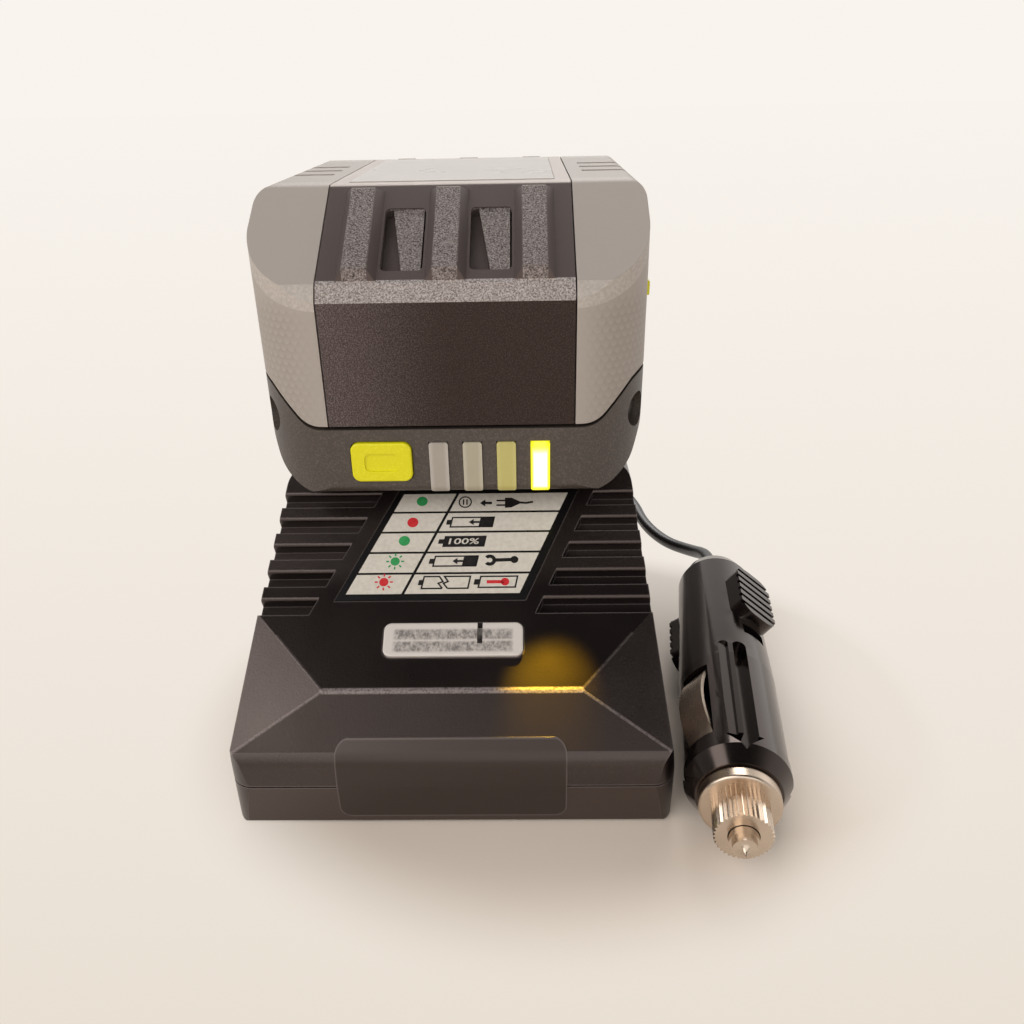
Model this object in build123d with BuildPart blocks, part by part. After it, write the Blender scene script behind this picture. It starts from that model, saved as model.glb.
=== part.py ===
from build123d import *
import os
from math import cos, radians, sin, tan

os.makedirs("parts", exist_ok=True)

# Frame: +Z up, the front faces -Y, the floor is Z = 0, lengths in millimetres

# Charger housing
charger_width = 89.0
charger_depth = 160.0
plateau_height = 55.7
foot_height = 0.3
foot_diameter = 9.0
foot_recess = 0.8
foot_side = 20.0
foot_inset = 9.0
seam_height = 10.3
seam_gap = 0.35
housing_wall = 2.2
deck_wall = 5.0
housing_corner = 5.0
base_undercut = 0.6
side_taper = 5.6
brow_height = 16.5
brow_setback = 0.6
nose_setback = 10.0
nose_height = 26.0
nose_half = 26.0
deck_angle = 34.0
facet_run = 11.9
facet_spread = 10.8
facet_foot_drop = -0.4
facet_foot_back = 1.0
rear_bevel_run = 6.0
rear_bevel_drop = 10.0
edge_round = 1.2
brow_round = 5.0
base_round = 0.8
top_round = 3.0
section_margin = 0.02

# Louvres beside the label
louvre_count = 5
louvre_first = 18.2
louvre_pitch = 6.5
louvre_width = 3.3
louvre_depth = 3.2
louvre_lip = 0.8
louvre_left_inner = 29.9
louvre_right_inner = 17.8
slant = 0.45

# Front film, label and light pipe
film_width = 45.6
film_bottom = 2.2
film_top = 19.6
film_corner = 2.5
film_thickness = 0.2
label_left = -25.4
label_width = 40.2
label_start = 19.7
label_length = 27.6
label_thickness = 0.3
label_recess = 0.15
pipe_width = 28.8
pipe_height = 7.3
pipe_start = 7.0
pipe_corner = 1.6
pipe_proud = 0.8
pipe_slit_x = 5.5
pipe_slit_width = 1.1
pipe_slit_length = 4.6
pipe_flange = 1.2
pipe_flange_rim = 1.2
pipe_leg_x = (-4.6, 10.4)
pipe_leg_size = 4.0
fit_gap = 0.15

# Circuit board and what stands on it
board_width = 56.0
board_boss_gap = 0.3
board_front = -70.0
board_rear = -12.0
board_thickness = 1.6
board_height = 6.4
board_post_diameter = 6.0
board_post_inset = 4.0
led_size = 3.0
led_height = 1.2
transformer_size = (21.0, 18.0, 16.0)
transformer_at = (-12.0, -27.0)
choke_diameter = 15.0
choke_bore = 6.0
choke_height = 8.0
choke_at = (13.0, -24.0)
capacitor_diameter = 8.0
capacitor_height = 13.0
capacitor_at = ((-19.0, -45.0), (-9.5, -45.0), (22.5, -33.0))
sink_length = 28.0
sink_base = 2.0
sink_height = 18.0
sink_fin = 1.2
sink_fin_count = 5
sink_fin_depth = 6.0
sink_at = (12.0, -44.0)

# Housing screws
boss_diameter = 7.0
boss_side = 12.5
boss_front = -60.0
boss_rear = 66.0
screw_diameter = 2.8
screw_length = 13.0
screw_head_diameter = 5.4
screw_head_height = 2.2
screw_play = 0.1

# Battery pack
pack_width = 82.0
pack_length = 118.0
pack_height = 60.0
pack_corner = 16.0
pack_y = 18.0
pack_lift = 0.3
ledge_low = 41.0
ledge_high = 44.3
ledge_back = 1.8
slope_back = 26.0
keel_inset = 9.0
keel_round = 10.0
bilge_inset = 3.2
bilge_z = 4.5
chine_inset = 0.5
chine_z = 12.0
chine_round = 9.0
flank_inset = 0.2
flank_z = 23.0
flank_top = 34.0
flank_round = 30.0
pack_bottom_round = 2.0
pack_top_round = 3.2
pack_seam_low = 15.0
pack_seam_high = 24.2
pack_seam_inner_inset = 11.0
pack_seam_outer_inset = 2.5
pack_seam_round = 6.0
pack_seam_gap = 0.8
band_overlap = 0.5
band_seam = 0.3
grip_thickness = 1.8
grip_play = 0.05
shell_wall = 2.0
cover_wall = 2.4

# Ribs, pockets and grooves of the pack
rib_edge = 7.9
rib_width = 8.2
rib_length = 26.5
rib_height = 2.4
rib_draft = 36.0
pocket_width = 8.4
pocket_length = 18.0
pocket_start = 3.2
pocket_depth = 2.4
pad_width = 6.4
pad_offset = 0.6
pad_lean = 2.6
pad_height = 2.0
groove_pitch = 10.0
groove_width = 3.2
groove_depth = 1.0
groove_edge = 3.5
plate_edge = 3.5
plate_end = 4.0
plate_thickness = 0.3
plate_recess = 0.15

# Side panels and release latches
panel_end = 19.0
panel_low = 26.5
panel_high = 44.0
panel_proud = 0.6
accent_low = 37.4
accent_high = 40.4
accent_depth = 0.8
accent_proud = 0.5
latch_length = 44.0
latch_low = 28.2
latch_high = 36.0
latch_proud = 1.5
latch_travel = 1.8
latch_flange_rim = 2.0
latch_flange_inset = 4.7
latch_flange = 1.1
latch_gap = 0.3

# Charge gauge on the pack
button_x = -15.0
button_z = 7.5
button_width = 12.8
button_height = 8.7
button_corner = 1.8
button_proud = 0.8
button_travel = 0.8
button_rim = 1.1
button_rim_low = 0.6
button_flange = 1.0
button_gap = 0.2
button_dish_width = 7.2
button_dish_height = 4.0
button_dish_depth = 0.35
gauge_first = -2.95
gauge_pitch = 7.1
gauge_count = 4
gauge_width = 4.0
gauge_low = 0.4
gauge_high = 11.7
gauge_depth = 4.8
gauge_proud = 0.4
gauge_play = 0.1
gauge_board_back = 6.5
gauge_board_edge = 8.0
gauge_board_height = 10.0
gauge_board_thickness = 1.2
switch_size = 6.0
gauge_led_size = 2.4
gauge_led_height = 0.9

# Cells inside the pack
cell_diameter = 18.2
cell_end_room = 8.5
cell_pitch = 19.0
cell_low = 22.2
cell_roof_room = 18.0
cell_row_end = 20.5
cell_play = 0.1
holder_depth = 10.5
holder_low = 12.0
holder_rim = 2.2
holder_bevel = 13.3
holder_shoulder_rise = 3.3
holder_top_rise = 11.1
strap_width = 7.0
strap_thickness = 0.2
post_diameter = 5.0
post_edge = 7.0
post_end = 15.0
pack_board_edge = 11.0
pack_board_length = 26.0
pack_board_end = 21.0
pack_board_z = 8.0
pack_screw_pocket = 7.6
pack_screw_depth = 3.4
pack_screw_floor = 1.6
pack_screw_boss = 11.0
pack_screw_z = 15.6
pack_screw_sink = 1.0
pack_screw_turn = 28.0
pack_screw_head = 6.4
pack_screw_head_height = 2.2

# Stem under the pack and the socket that takes it
stem_width = 36.0
stem_length = 44.0
stem_drop = 42.0
stem_corner = 8.0
stem_wall = 2.2
stem_floor = 3.0
stem_chamfer = 1.5
socket_play = 0.6
socket_wall = 2.0
socket_well = 4.6
socket_flange = 2.0
socket_flange_thickness = 1.5
blade_count = 3
blade_pitch = 9.0
blade_thickness = 0.8
blade_length = 6.0
blade_height = 12.0
blade_back = 12.5
blade_slot_play = 0.9
clip_thickness = 0.5
clip_height = 8.0
carrier_length = 11.0
carrier_side_gap = 2.0
carrier_height = 10.0

# Cord and strain relief
cord_diameter = 3.6
gland_x = 26.0
gland_z = 17.0
gland_diameter = 10.0
gland_tip_diameter = 6.4
gland_length = 16.0
gland_flange_diameter = 14.0
gland_flange = 2.0
coil_turns = 3
coil_outer = 28.0
coil_pitch = 4.3
coil_layer = 4.3
coil_center = (-8.0, 122.0)
coil_start = 60.0
tie_angle = 200.0
tie_width = 4.0
tie_thickness = 0.9
tie_play = 0.2

# Vehicle plug, distances counted from its tip
plug_tip = (53.6, -99.0)
plug_turn = 7.65
plug_length = 102.0
plug_axis_height = 11.0
body_radius = 10.6
body_front_radius = 10.3
body_rear_radius = 6.0
body_front = 21.6
body_shoulder = 92.0
spigot_radius = 7.4
crown_front = 15.2
crown_front_radius = 8.4
crown_wide = 18.6
crown_radius = 10.5
crown_play = 0.15
notch_width = 8.0
notch_depth = 4.0
notch_angle = 86.0
ring_radius = 7.9
ring_front = 12.2
cap_radius = 5.5
cap_front = 5.2
cap_teeth = 36
cap_tooth_depth = 0.3
pin_radius = 2.3
pin_base_radius = 2.8
pin_base_front = 3.6
pin_flange_radius = 3.6
pin_flange_thickness = 1.2
pin_travel = 2.5
pin_play = 0.15
cap_wall = 1.5
fuse_radius = 3.0
fuse_length = 26.0
bore_radius = 3.8
spring_wire = 0.8
spring_radius = 2.7
spring_turns = 6
spring_length = 12.0
split_angle = 140.0
contact_angle = 140.0
contact_start = 23.4
contact_length = 21.0
contact_width = 6.4
contact_thickness = 0.8
contact_end_radius = 8.6
contact_peak_radius = 12.0
contact_travel = 1.5
contact_slot_floor = 6.4
contact_slot_play = 0.4
wing_start = 63.0
wing_length = 20.0
wing_upper_angle = 52.0
wing_upper_width = 10.5
wing_upper_radius = 12.8
wing_lower_angle = 216.0
wing_lower_width = 8.0
wing_lower_radius = 12.0
wing_round = 3.8
wing_groove_count = 6
wing_groove_pitch = 3.0
wing_groove_width = 1.3
wing_groove_depth = 0.7
window_length = 3.6
window_width = 6.0
window_depth = 2.4
channel_angle = 79.0
channel_start = 20.0
channel_length = 32.6
channel_width = 3.0
channel_depth = 3.2
channel_side_width = 2.0
channel_side_depth = 1.2
channel_rib = 1.0
boot_radius = 3.6
boot_length = 5.0
boot_seat = 2.0

# Derived places
charger_front = -charger_depth / 2
charger_rear = charger_depth / 2
nose_y = charger_front + nose_setback
deck_end = nose_y + (plateau_height - nose_height) / tan(radians(deck_angle))
pack_z = plateau_height + pack_lift
pack_front_y = -pack_length / 2
base_floor = foot_height + housing_wall
board_top = board_height + board_thickness
foot_x = charger_width / 2 - foot_side
boss_x = charger_width / 2 - boss_side
boss_points = [(x, y) for x in (-boss_x, boss_x) for y in (boss_front, boss_rear)]
pack_half = pack_width / 2
keel_half = pack_half - keel_inset
band_half = pack_half - pack_corner + band_overlap
rib_pitch = band_half - rib_edge
groove_inner = band_half + groove_edge
plate_width = 2 * (band_half - plate_edge)
plate_length = pack_length - 2 * (slope_back + plate_end)
panel_length = pack_length - 2 * panel_end
latch_flange_outer = pack_half - latch_flange_inset
gauge_board_width = 2 * (keel_half - gauge_board_edge)
post_x = keel_half - post_edge
post_y = pack_length / 2 - post_end
pack_board_y = pack_length / 2 - pack_board_end
pack_board_width = 2 * (keel_half - pack_board_edge)
cell_length = pack_width - 2 * cell_end_room
cell_columns = 1 + int((pack_length - 2 * cell_row_end) / cell_pitch)
cell_row_count = 1 + int((pack_height - cell_low - cell_roof_room) / cell_pitch)
cell_rows = [cell_low + index * cell_pitch for index in range(cell_row_count)]
cell_points = [
    ((column - (cell_columns - 1) / 2) * cell_pitch, row)
    for column in range(cell_columns)
    for row in cell_rows
]
stem_tip = pack_z - stem_drop
socket_floor = stem_tip - socket_well
socket_inner_width = stem_width + 2 * socket_play
socket_inner_length = stem_length + 2 * socket_play
socket_outer_width = socket_inner_width + 2 * socket_wall
socket_outer_length = socket_inner_length + 2 * socket_wall
blade_xs = [(index - (blade_count - 1) / 2) * blade_pitch for index in range(blade_count)]
gauge_xs = [gauge_first + index * gauge_pitch for index in range(gauge_count)]

# Working planes
deck_plane = Plane(
    origin=(0, nose_y, nose_height),
    x_dir=(1, 0, 0),
    z_dir=(0, -sin(radians(deck_angle)), cos(radians(deck_angle))),
)
pack_side = Plane(origin=(0, pack_y, pack_z), x_dir=(0, 1, 0), z_dir=(1, 0, 0))
pack_front = Plane(origin=(0, pack_y, pack_z), x_dir=(1, 0, 0), z_dir=(0, -1, 0))
pack_plan = Plane(origin=(0, pack_y, pack_z))
plug_heading = Vector(-sin(radians(plug_turn)), -cos(radians(plug_turn)), 0)
plug_right = Vector(cos(radians(plug_turn)), -sin(radians(plug_turn)), 0)
plug_tip_point = Vector(plug_tip[0], plug_tip[1], plug_axis_height)
plug_rear_point = plug_tip_point - plug_heading * plug_length


def save(piece, node):
    """Label a finished piece and write it as its own file."""
    piece.part.label = node
    export_step(piece.part, f"parts/{node}.step")


def closed_face(points, radii):
    """Face of a closed outline with a radius at each corner, in the current sketch."""
    with BuildLine() as outline:
        FilletPolyline(*points, radius=radii, close=True)
    make_face(outline.line)


def mirrored(points):
    """Outline points of a symmetric section, from those of its right half, bottom to top."""
    return points + [(-x, z) for x, z in reversed(points)]


# Outer forms
charger_side_points = [
    (charger_front + base_undercut, foot_height),
    (charger_front, seam_height),
    (charger_front + brow_setback, brow_height),
    (nose_y, nose_height),
    (deck_end, plateau_height),
    (charger_rear - rear_bevel_run, plateau_height),
    (charger_rear, plateau_height - rear_bevel_drop),
    (charger_rear, seam_height),
    (charger_rear - base_undercut, foot_height),
]
charger_front_edges = [base_round, 0, brow_round, edge_round]
charger_rear_edges = [top_round, top_round, top_round, 0, base_round]
charger_side_radii = charger_front_edges + charger_rear_edges
charger_front_points = mirrored(
    [
        (charger_width / 2 - base_undercut, foot_height - section_margin),
        (charger_width / 2, seam_height),
        (charger_width / 2 - side_taper, plateau_height + section_margin),
    ]
)
charger_front_radii = [base_round, 0, top_round, top_round, 0, base_round]


def facet_plane(side, inset):
    """Plane of the slanted facet beside the nose, on the left (-1) or the right (1)."""
    top = Vector(side * nose_half, nose_y, nose_height)
    ridge = deck_plane.from_local_coords(Vector(side * (nose_half + facet_spread), facet_run, 0))
    foot = Vector(side * charger_width / 2, charger_front + facet_foot_back, brow_height - facet_foot_drop)
    normal = (ridge - top).cross(foot - top).normalized()
    if normal.Z < 0:
        normal = normal * -1
    return Plane(origin=top - normal * inset, z_dir=normal)


def charger_form(inset):
    """Whole outer form of the charger, with every face moved inward by inset."""
    with BuildPart() as form:
        with BuildSketch(Plane.YZ.offset(-charger_width)):
            closed_face(charger_side_points, charger_side_radii)
            if inset:
                offset(amount=-inset, kind=Kind.INTERSECTION)
        extrude(amount=2 * charger_width, dir=(1, 0, 0))
        with BuildSketch(Plane.XZ.offset(-charger_depth)):
            closed_face(charger_front_points, charger_front_radii)
            if inset:
                offset(amount=-inset, kind=Kind.INTERSECTION)
        extrude(amount=2 * charger_depth, dir=(0, -1, 0), mode=Mode.INTERSECT)
        with BuildSketch(Plane.XY):
            RectangleRounded(
                charger_width + 2 * section_margin - 2 * inset,
                charger_depth + 2 * section_margin - 2 * inset,
                housing_corner - inset,
            )
        extrude(amount=2 * plateau_height, mode=Mode.INTERSECT)
        for side in (-1, 1):
            split(bisect_by=facet_plane(side, inset), keep=Keep.BOTTOM)
    return form.part


pack_side_points = [
    (pack_front_y, 0),
    (pack_front_y, ledge_low),
    (pack_front_y + ledge_back, ledge_high),
    (pack_front_y + slope_back, pack_height),
    (-pack_front_y - slope_back, pack_height),
    (-pack_front_y - ledge_back, ledge_high),
    (-pack_front_y, ledge_low),
    (-pack_front_y, 0),
]
pack_end_radii = [pack_bottom_round, edge_round, edge_round, top_round]
pack_side_radii = pack_end_radii + pack_end_radii[::-1]
pack_front_points = mirrored(
    [
        (keel_half, -section_margin),
        (pack_half - bilge_inset, bilge_z),
        (pack_half - chine_inset, chine_z),
        (pack_half - flank_inset, flank_z),
        (pack_half, flank_top),
        (pack_half, pack_height + section_margin),
    ]
)
pack_half_radii = [keel_round, chine_round, chine_round, flank_round, flank_round, pack_top_round]
pack_front_radii = pack_half_radii + pack_half_radii[::-1]


def pack_form(inset):
    """Whole outer form of the battery pack, with every face moved inward by inset."""
    with BuildPart() as form:
        with BuildSketch(pack_side.offset(-pack_width)):
            closed_face(pack_side_points, pack_side_radii)
            if inset:
                offset(amount=-inset, kind=Kind.INTERSECTION)
        extrude(amount=2 * pack_width, dir=(1, 0, 0))
        with BuildSketch(pack_front.offset(-pack_length)):
            closed_face(pack_front_points, pack_front_radii)
            if inset:
                offset(amount=-inset, kind=Kind.INTERSECTION)
        extrude(amount=2 * pack_length, dir=(0, -1, 0), mode=Mode.INTERSECT)
        with BuildSketch(pack_plan.offset(-pack_height)):
            RectangleRounded(
                pack_width + 2 * section_margin - 2 * inset,
                pack_length + 2 * section_margin - 2 * inset,
                pack_corner - inset,
            )
        extrude(amount=3 * pack_height, mode=Mode.INTERSECT)
    return form.part


def under_pack_seam(shift):
    """Block below the wavy seam of the pack, with the seam moved up by shift."""
    low = pack_seam_low + shift
    high = pack_seam_high + shift
    far = pack_width
    outer = pack_half - pack_seam_outer_inset
    inner = pack_half - pack_seam_inner_inset
    with BuildPart() as block:
        with BuildSketch(pack_front.offset(-pack_length)):
            closed_face(
                [
                    (-far, -pack_height),
                    (far, -pack_height),
                    (far, high),
                    (outer, high),
                    (inner, low),
                    (-inner, low),
                    (-outer, high),
                    (-far, high),
                ],
                [0, 0, 0] + 4 * [pack_seam_round] + [0],
            )
        extrude(amount=2 * pack_length)
    return block.part


charger_outer = charger_form(0)
with BuildPart() as charger_inner:
    add(charger_form(housing_wall))
    split(bisect_by=deck_plane.offset(-deck_wall), keep=Keep.BOTTOM)
pack_outer = pack_form(0)
pack_under_grip = pack_form(grip_thickness)
pack_inner = pack_form(grip_thickness + shell_wall)

# Upper housing
with BuildPart() as upper_bosses:
    with BuildSketch(Plane.XY.offset(seam_height)):
        with Locations(*boss_points):
            Circle(boss_diameter / 2)
    extrude(amount=plateau_height)
    add(charger_form(housing_wall / 2), mode=Mode.INTERSECT)

with BuildPart() as upper_housing:
    add(charger_outer)
    split(bisect_by=Plane.XY.offset(seam_height), keep=Keep.TOP)
    add(charger_inner.part, mode=Mode.SUBTRACT)
    add(upper_bosses.part)
    with BuildSketch(Plane.XY.offset(seam_height)):
        with Locations(*boss_points):
            Circle(screw_diameter / 2 + screw_play)
    extrude(amount=screw_length, mode=Mode.SUBTRACT)
    # Louvres, each open at the side and cut slantwise at its inner end
    for index in range(louvre_count):
        low = louvre_first + index * louvre_pitch - louvre_width / 2
        for side, inner in ((-1, louvre_left_inner), (1, louvre_right_inner)):
            end = side * inner + slant * index * louvre_pitch
            lean = slant * louvre_width / 2
            far = side * charger_width
            with BuildSketch(deck_plane):
                with BuildLine():
                    Polyline(
                        (end - lean, low),
                        (far, low),
                        (far, low + louvre_width),
                        (end + lean, low + louvre_width),
                        close=True,
                    )
                make_face()
            extrude(amount=-louvre_depth, mode=Mode.SUBTRACT)
    # Rounded lip along the upper edge of each louvre
    first_lip = louvre_first + louvre_width / 2
    lip_starts = [first_lip + index * louvre_pitch for index in range(louvre_count)]
    lips = []
    for edge in upper_housing.edges().filter_by(Axis.X):
        place = deck_plane.to_local_coords(edge.center())
        on_lip = any(abs(place.Y - start) < section_margin for start in lip_starts)
        if abs(place.Z) < section_margin and on_lip:
            lips.append(edge)
    fillet(lips, louvre_lip)
    # Window of the light pipe
    with BuildSketch(deck_plane):
        with Locations((0, pipe_start + pipe_height / 2)):
            RectangleRounded(
                pipe_width + 2 * fit_gap, pipe_height + 2 * fit_gap, pipe_corner + fit_gap
            )
    extrude(amount=-2 * deck_wall, mode=Mode.SUBTRACT)
    # Seat of the label
    seat_left = label_left - fit_gap
    seat_right = label_left + label_width + fit_gap
    seat_end = label_start + label_length + fit_gap
    with BuildSketch(deck_plane):
        with BuildLine():
            Polyline(
                (seat_left, label_start - fit_gap),
                (seat_right, label_start - fit_gap),
                (seat_right + slant * label_length, seat_end),
                (seat_left + slant * label_length, seat_end),
                close=True,
            )
        make_face()
    extrude(amount=-label_recess, mode=Mode.SUBTRACT)
    # Mouth of the battery socket
    with BuildSketch(Plane.XY.offset(plateau_height)):
        with Locations((0, pack_y)):
            RectangleRounded(
                socket_outer_width + 2 * fit_gap,
                socket_outer_length + 2 * fit_gap,
                stem_corner + socket_play + socket_wall + fit_gap,
            )
    extrude(amount=-2 * housing_wall, mode=Mode.SUBTRACT)
    # Hole of the strain relief
    with BuildSketch(Plane.XZ.offset(-charger_rear)):
        with Locations((gland_x, gland_z)):
            Circle(gland_diameter / 2 + fit_gap)
    extrude(amount=2 * housing_wall, mode=Mode.SUBTRACT)
save(upper_housing, "upper_housing")

# Base housing
board_posts = [
    (x, y)
    for x in (-board_width / 2 + board_post_inset, board_width / 2 - board_post_inset)
    for y in (board_front + board_post_inset, board_rear - board_post_inset)
]
socket_posts = [
    (x, pack_y + y)
    for x in (-socket_outer_width / 2 + socket_wall * 2, socket_outer_width / 2 - socket_wall * 2)
    for y in (-socket_outer_length / 4, socket_outer_length / 4)
]
foot_points = [
    (x, y) for x in (-foot_x, foot_x) for y in (charger_front + foot_inset, charger_rear - foot_inset)
]
with BuildPart() as base_housing:
    add(charger_outer)
    split(bisect_by=Plane.XY.offset(seam_height - seam_gap), keep=Keep.BOTTOM)
    add(charger_inner.part, mode=Mode.SUBTRACT)
    with BuildSketch(Plane.XY.offset(base_floor)):
        with Locations(*boss_points):
            Circle(boss_diameter / 2)
    extrude(amount=seam_height - base_floor)
    with BuildSketch(Plane.XY.offset(base_floor)):
        with Locations(*board_posts):
            Circle(board_post_diameter / 2)
    extrude(amount=board_height - base_floor)
    with BuildSketch(Plane.XY.offset(base_floor)):
        with Locations(*socket_posts):
            Circle(board_post_diameter / 2)
    extrude(amount=socket_floor - socket_wall - base_floor)
    with BuildSketch(Plane.XY.offset(foot_height)):
        with Locations(*boss_points):
            Circle(screw_diameter / 2 + screw_play)
    extrude(amount=seam_height, mode=Mode.SUBTRACT)
    with BuildSketch(Plane.XY.offset(foot_height)):
        with Locations(*boss_points):
            Circle(screw_head_diameter / 2 + screw_play)
    extrude(amount=screw_head_height + screw_play, mode=Mode.SUBTRACT)
    with BuildSketch(Plane.XY.offset(foot_height)):
        with Locations(*foot_points):
            Circle(foot_diameter / 2 + fit_gap)
    extrude(amount=foot_recess, mode=Mode.SUBTRACT)
save(base_housing, "base_housing")

with BuildPart() as rubber_feet:
    with BuildSketch(Plane.XY):
        with Locations(*foot_points):
            Circle(foot_diameter / 2)
    extrude(amount=foot_height + foot_recess)
save(rubber_feet, "rubber_feet")

with BuildPart() as housing_screws:
    with BuildSketch(Plane.XY.offset(foot_height + screw_play)):
        with Locations(*boss_points):
            Circle(screw_head_diameter / 2)
    extrude(amount=screw_head_height)
    with BuildSketch(Plane.XY.offset(foot_height + screw_play + screw_head_height)):
        with Locations(*boss_points):
            Circle(screw_diameter / 2)
    extrude(amount=screw_length)
save(housing_screws, "housing_screws")

# Bare clear film across the front seam
with BuildPart() as front_film:
    with BuildSketch(Plane.XZ):
        with Locations((0, (film_bottom + film_top) / 2)):
            RectangleRounded(film_width, film_top - film_bottom, film_corner)
    extrude(amount=charger_depth)
    add(charger_form(-film_thickness), mode=Mode.INTERSECT)
    add(charger_outer, mode=Mode.SUBTRACT)
save(front_film, "front_film")

# Instruction label on the deck
with BuildPart() as instruction_label:
    with BuildSketch(deck_plane.offset(-label_recess)):
        with BuildLine():
            Polyline(
                (label_left, label_start),
                (label_left + label_width, label_start),
                (label_left + label_width + slant * label_length, label_start + label_length),
                (label_left + slant * label_length, label_start + label_length),
                close=True,
            )
        make_face()
    extrude(amount=label_thickness)
save(instruction_label, "instruction_label")

# Light pipe: frosted bar in the deck, flange below it and a leg over each lamp
pipe_middle = pipe_start + pipe_height / 2
pipe_root = deck_plane.from_local_coords(Vector(0, pipe_middle, -deck_wall))
leg_bottom = board_top + led_height + fit_gap
leg_top = pipe_root.Z - pipe_leg_size / 2 * tan(radians(deck_angle))
with BuildPart() as light_pipe:
    with BuildSketch(deck_plane.offset(-deck_wall - pipe_flange)):
        with Locations((0, pipe_middle)):
            RectangleRounded(
                pipe_width + 2 * pipe_flange_rim, pipe_height + 2 * pipe_flange_rim, pipe_corner
            )
    extrude(amount=pipe_flange)
    with BuildSketch(deck_plane.offset(-deck_wall)):
        with Locations((0, pipe_middle)):
            RectangleRounded(pipe_width, pipe_height, pipe_corner)
    extrude(amount=deck_wall + pipe_proud)
    bar_top = light_pipe.faces().sort_by(Axis(deck_plane.origin, deck_plane.z_dir))[-1]
    fillet(bar_top.edges(), pipe_proud / 2)
    with BuildSketch(deck_plane.offset(-deck_wall / 2)):
        with Locations((pipe_slit_x, pipe_start + pipe_height - pipe_slit_length / 2)):
            Rectangle(pipe_slit_width, pipe_slit_length)
    extrude(amount=deck_wall, mode=Mode.SUBTRACT)
    with BuildSketch(Plane.XY.offset(leg_bottom)):
        with Locations(*[(x, pipe_root.Y) for x in pipe_leg_x]):
            Rectangle(pipe_leg_size, pipe_leg_size)
    extrude(amount=leg_top - leg_bottom)
save(light_pipe, "light_pipe")

# Circuit board and its parts
with BuildPart() as circuit_board:
    with BuildSketch(Plane.XY.offset(board_height)):
        with Locations((0, (board_front + board_rear) / 2)):
            Rectangle(board_width, board_rear - board_front)
        with Locations(*boss_points):
            Circle(boss_diameter / 2 + board_boss_gap, mode=Mode.SUBTRACT)
    extrude(amount=board_thickness)
save(circuit_board, "circuit_board")

for node, leg_x in (("lamp_charging", pipe_leg_x[0]), ("lamp_ready", pipe_leg_x[1])):
    with BuildPart() as lamp:
        with BuildSketch(Plane.XY.offset(board_top)):
            with Locations((leg_x, pipe_root.Y)):
                Rectangle(led_size, led_size)
        extrude(amount=led_height)
    save(lamp, node)

with BuildPart() as transformer:
    with BuildSketch(Plane.XY.offset(board_top)):
        with Locations(transformer_at):
            RectangleRounded(transformer_size[0], transformer_size[1], edge_round)
    extrude(amount=transformer_size[2])
save(transformer, "transformer")

with BuildPart() as choke:
    with BuildSketch(Plane.XY.offset(board_top)):
        with Locations(choke_at):
            Circle(choke_diameter / 2)
            Circle(choke_bore / 2, mode=Mode.SUBTRACT)
    extrude(amount=choke_height)
    fillet(choke.edges().filter_by(GeomType.CIRCLE), edge_round)
save(choke, "choke")

with BuildPart() as capacitors:
    with BuildSketch(Plane.XY.offset(board_top)):
        with Locations(*capacitor_at):
            Circle(capacitor_diameter / 2)
    extrude(amount=capacitor_height)
save(capacitors, "capacitors")

with BuildPart() as heat_sink:
    with BuildSketch(Plane.XY.offset(board_top)):
        with Locations(sink_at):
            Rectangle(sink_length, sink_base)
        with Locations((sink_at[0], sink_at[1] - (sink_base + sink_fin_depth) / 2)):
            with GridLocations((sink_length - sink_fin) / (sink_fin_count - 1), 0, sink_fin_count, 1):
                Rectangle(sink_fin, sink_fin_depth)
    extrude(amount=sink_height)
save(heat_sink, "heat_sink")

# Battery socket: well with a flange under the plateau
with BuildPart() as battery_socket:
    with BuildSketch(Plane.XY.offset(socket_floor - socket_wall)):
        with Locations((0, pack_y)):
            RectangleRounded(
                socket_outer_width, socket_outer_length, stem_corner + socket_play + socket_wall
            )
    extrude(amount=plateau_height - socket_floor + socket_wall)
    with BuildSketch(Plane.XY.offset(plateau_height - housing_wall)):
        with Locations((0, pack_y)):
            RectangleRounded(
                socket_outer_width + 2 * socket_flange,
                socket_outer_length + 2 * socket_flange,
                stem_corner + socket_play + socket_wall + socket_flange,
            )
    extrude(amount=-socket_flange_thickness)
    with BuildSketch(Plane.XY.offset(socket_floor)):
        with Locations((0, pack_y)):
            RectangleRounded(socket_inner_width, socket_inner_length, stem_corner + socket_play)
    extrude(amount=plateau_height, mode=Mode.SUBTRACT)
save(battery_socket, "battery_socket")

with BuildPart() as socket_blades:
    with BuildSketch(Plane.XY.offset(socket_floor)):
        with Locations(*[(x, pack_y + blade_back) for x in blade_xs]):
            Rectangle(blade_thickness, blade_length)
    extrude(amount=blade_height)
save(socket_blades, "socket_blades")

# Pack cover with its stem
front_face = Plane(origin=(0, pack_y + pack_front_y, pack_z), x_dir=(1, 0, 0), z_dir=(0, -1, 0))
screw_signs = [(x, y) for x in (-1, 1) for y in (-1, 1)]


def corner_screw_plane(x_sign, y_sign, depth):
    """Plane on the mouth of a corner screw pocket, moved inward by depth, facing outward."""
    turn = radians(pack_screw_turn)
    outward = Vector(x_sign * cos(turn), y_sign * sin(turn), 0)
    corner = Vector(
        x_sign * (pack_width / 2 - pack_corner),
        pack_y + y_sign * (pack_length / 2 - pack_corner),
        pack_z + pack_screw_z,
    )
    return Plane(origin=corner + outward * (pack_corner - pack_screw_sink - depth), z_dir=outward)


with BuildPart() as cover_bosses:
    for x_sign, y_sign in screw_signs:
        with BuildSketch(corner_screw_plane(x_sign, y_sign, -cover_wall)):
            Circle(pack_screw_boss / 2)
        extrude(amount=-cover_wall - pack_screw_depth - pack_screw_floor)
    add(pack_outer, mode=Mode.INTERSECT)

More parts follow.
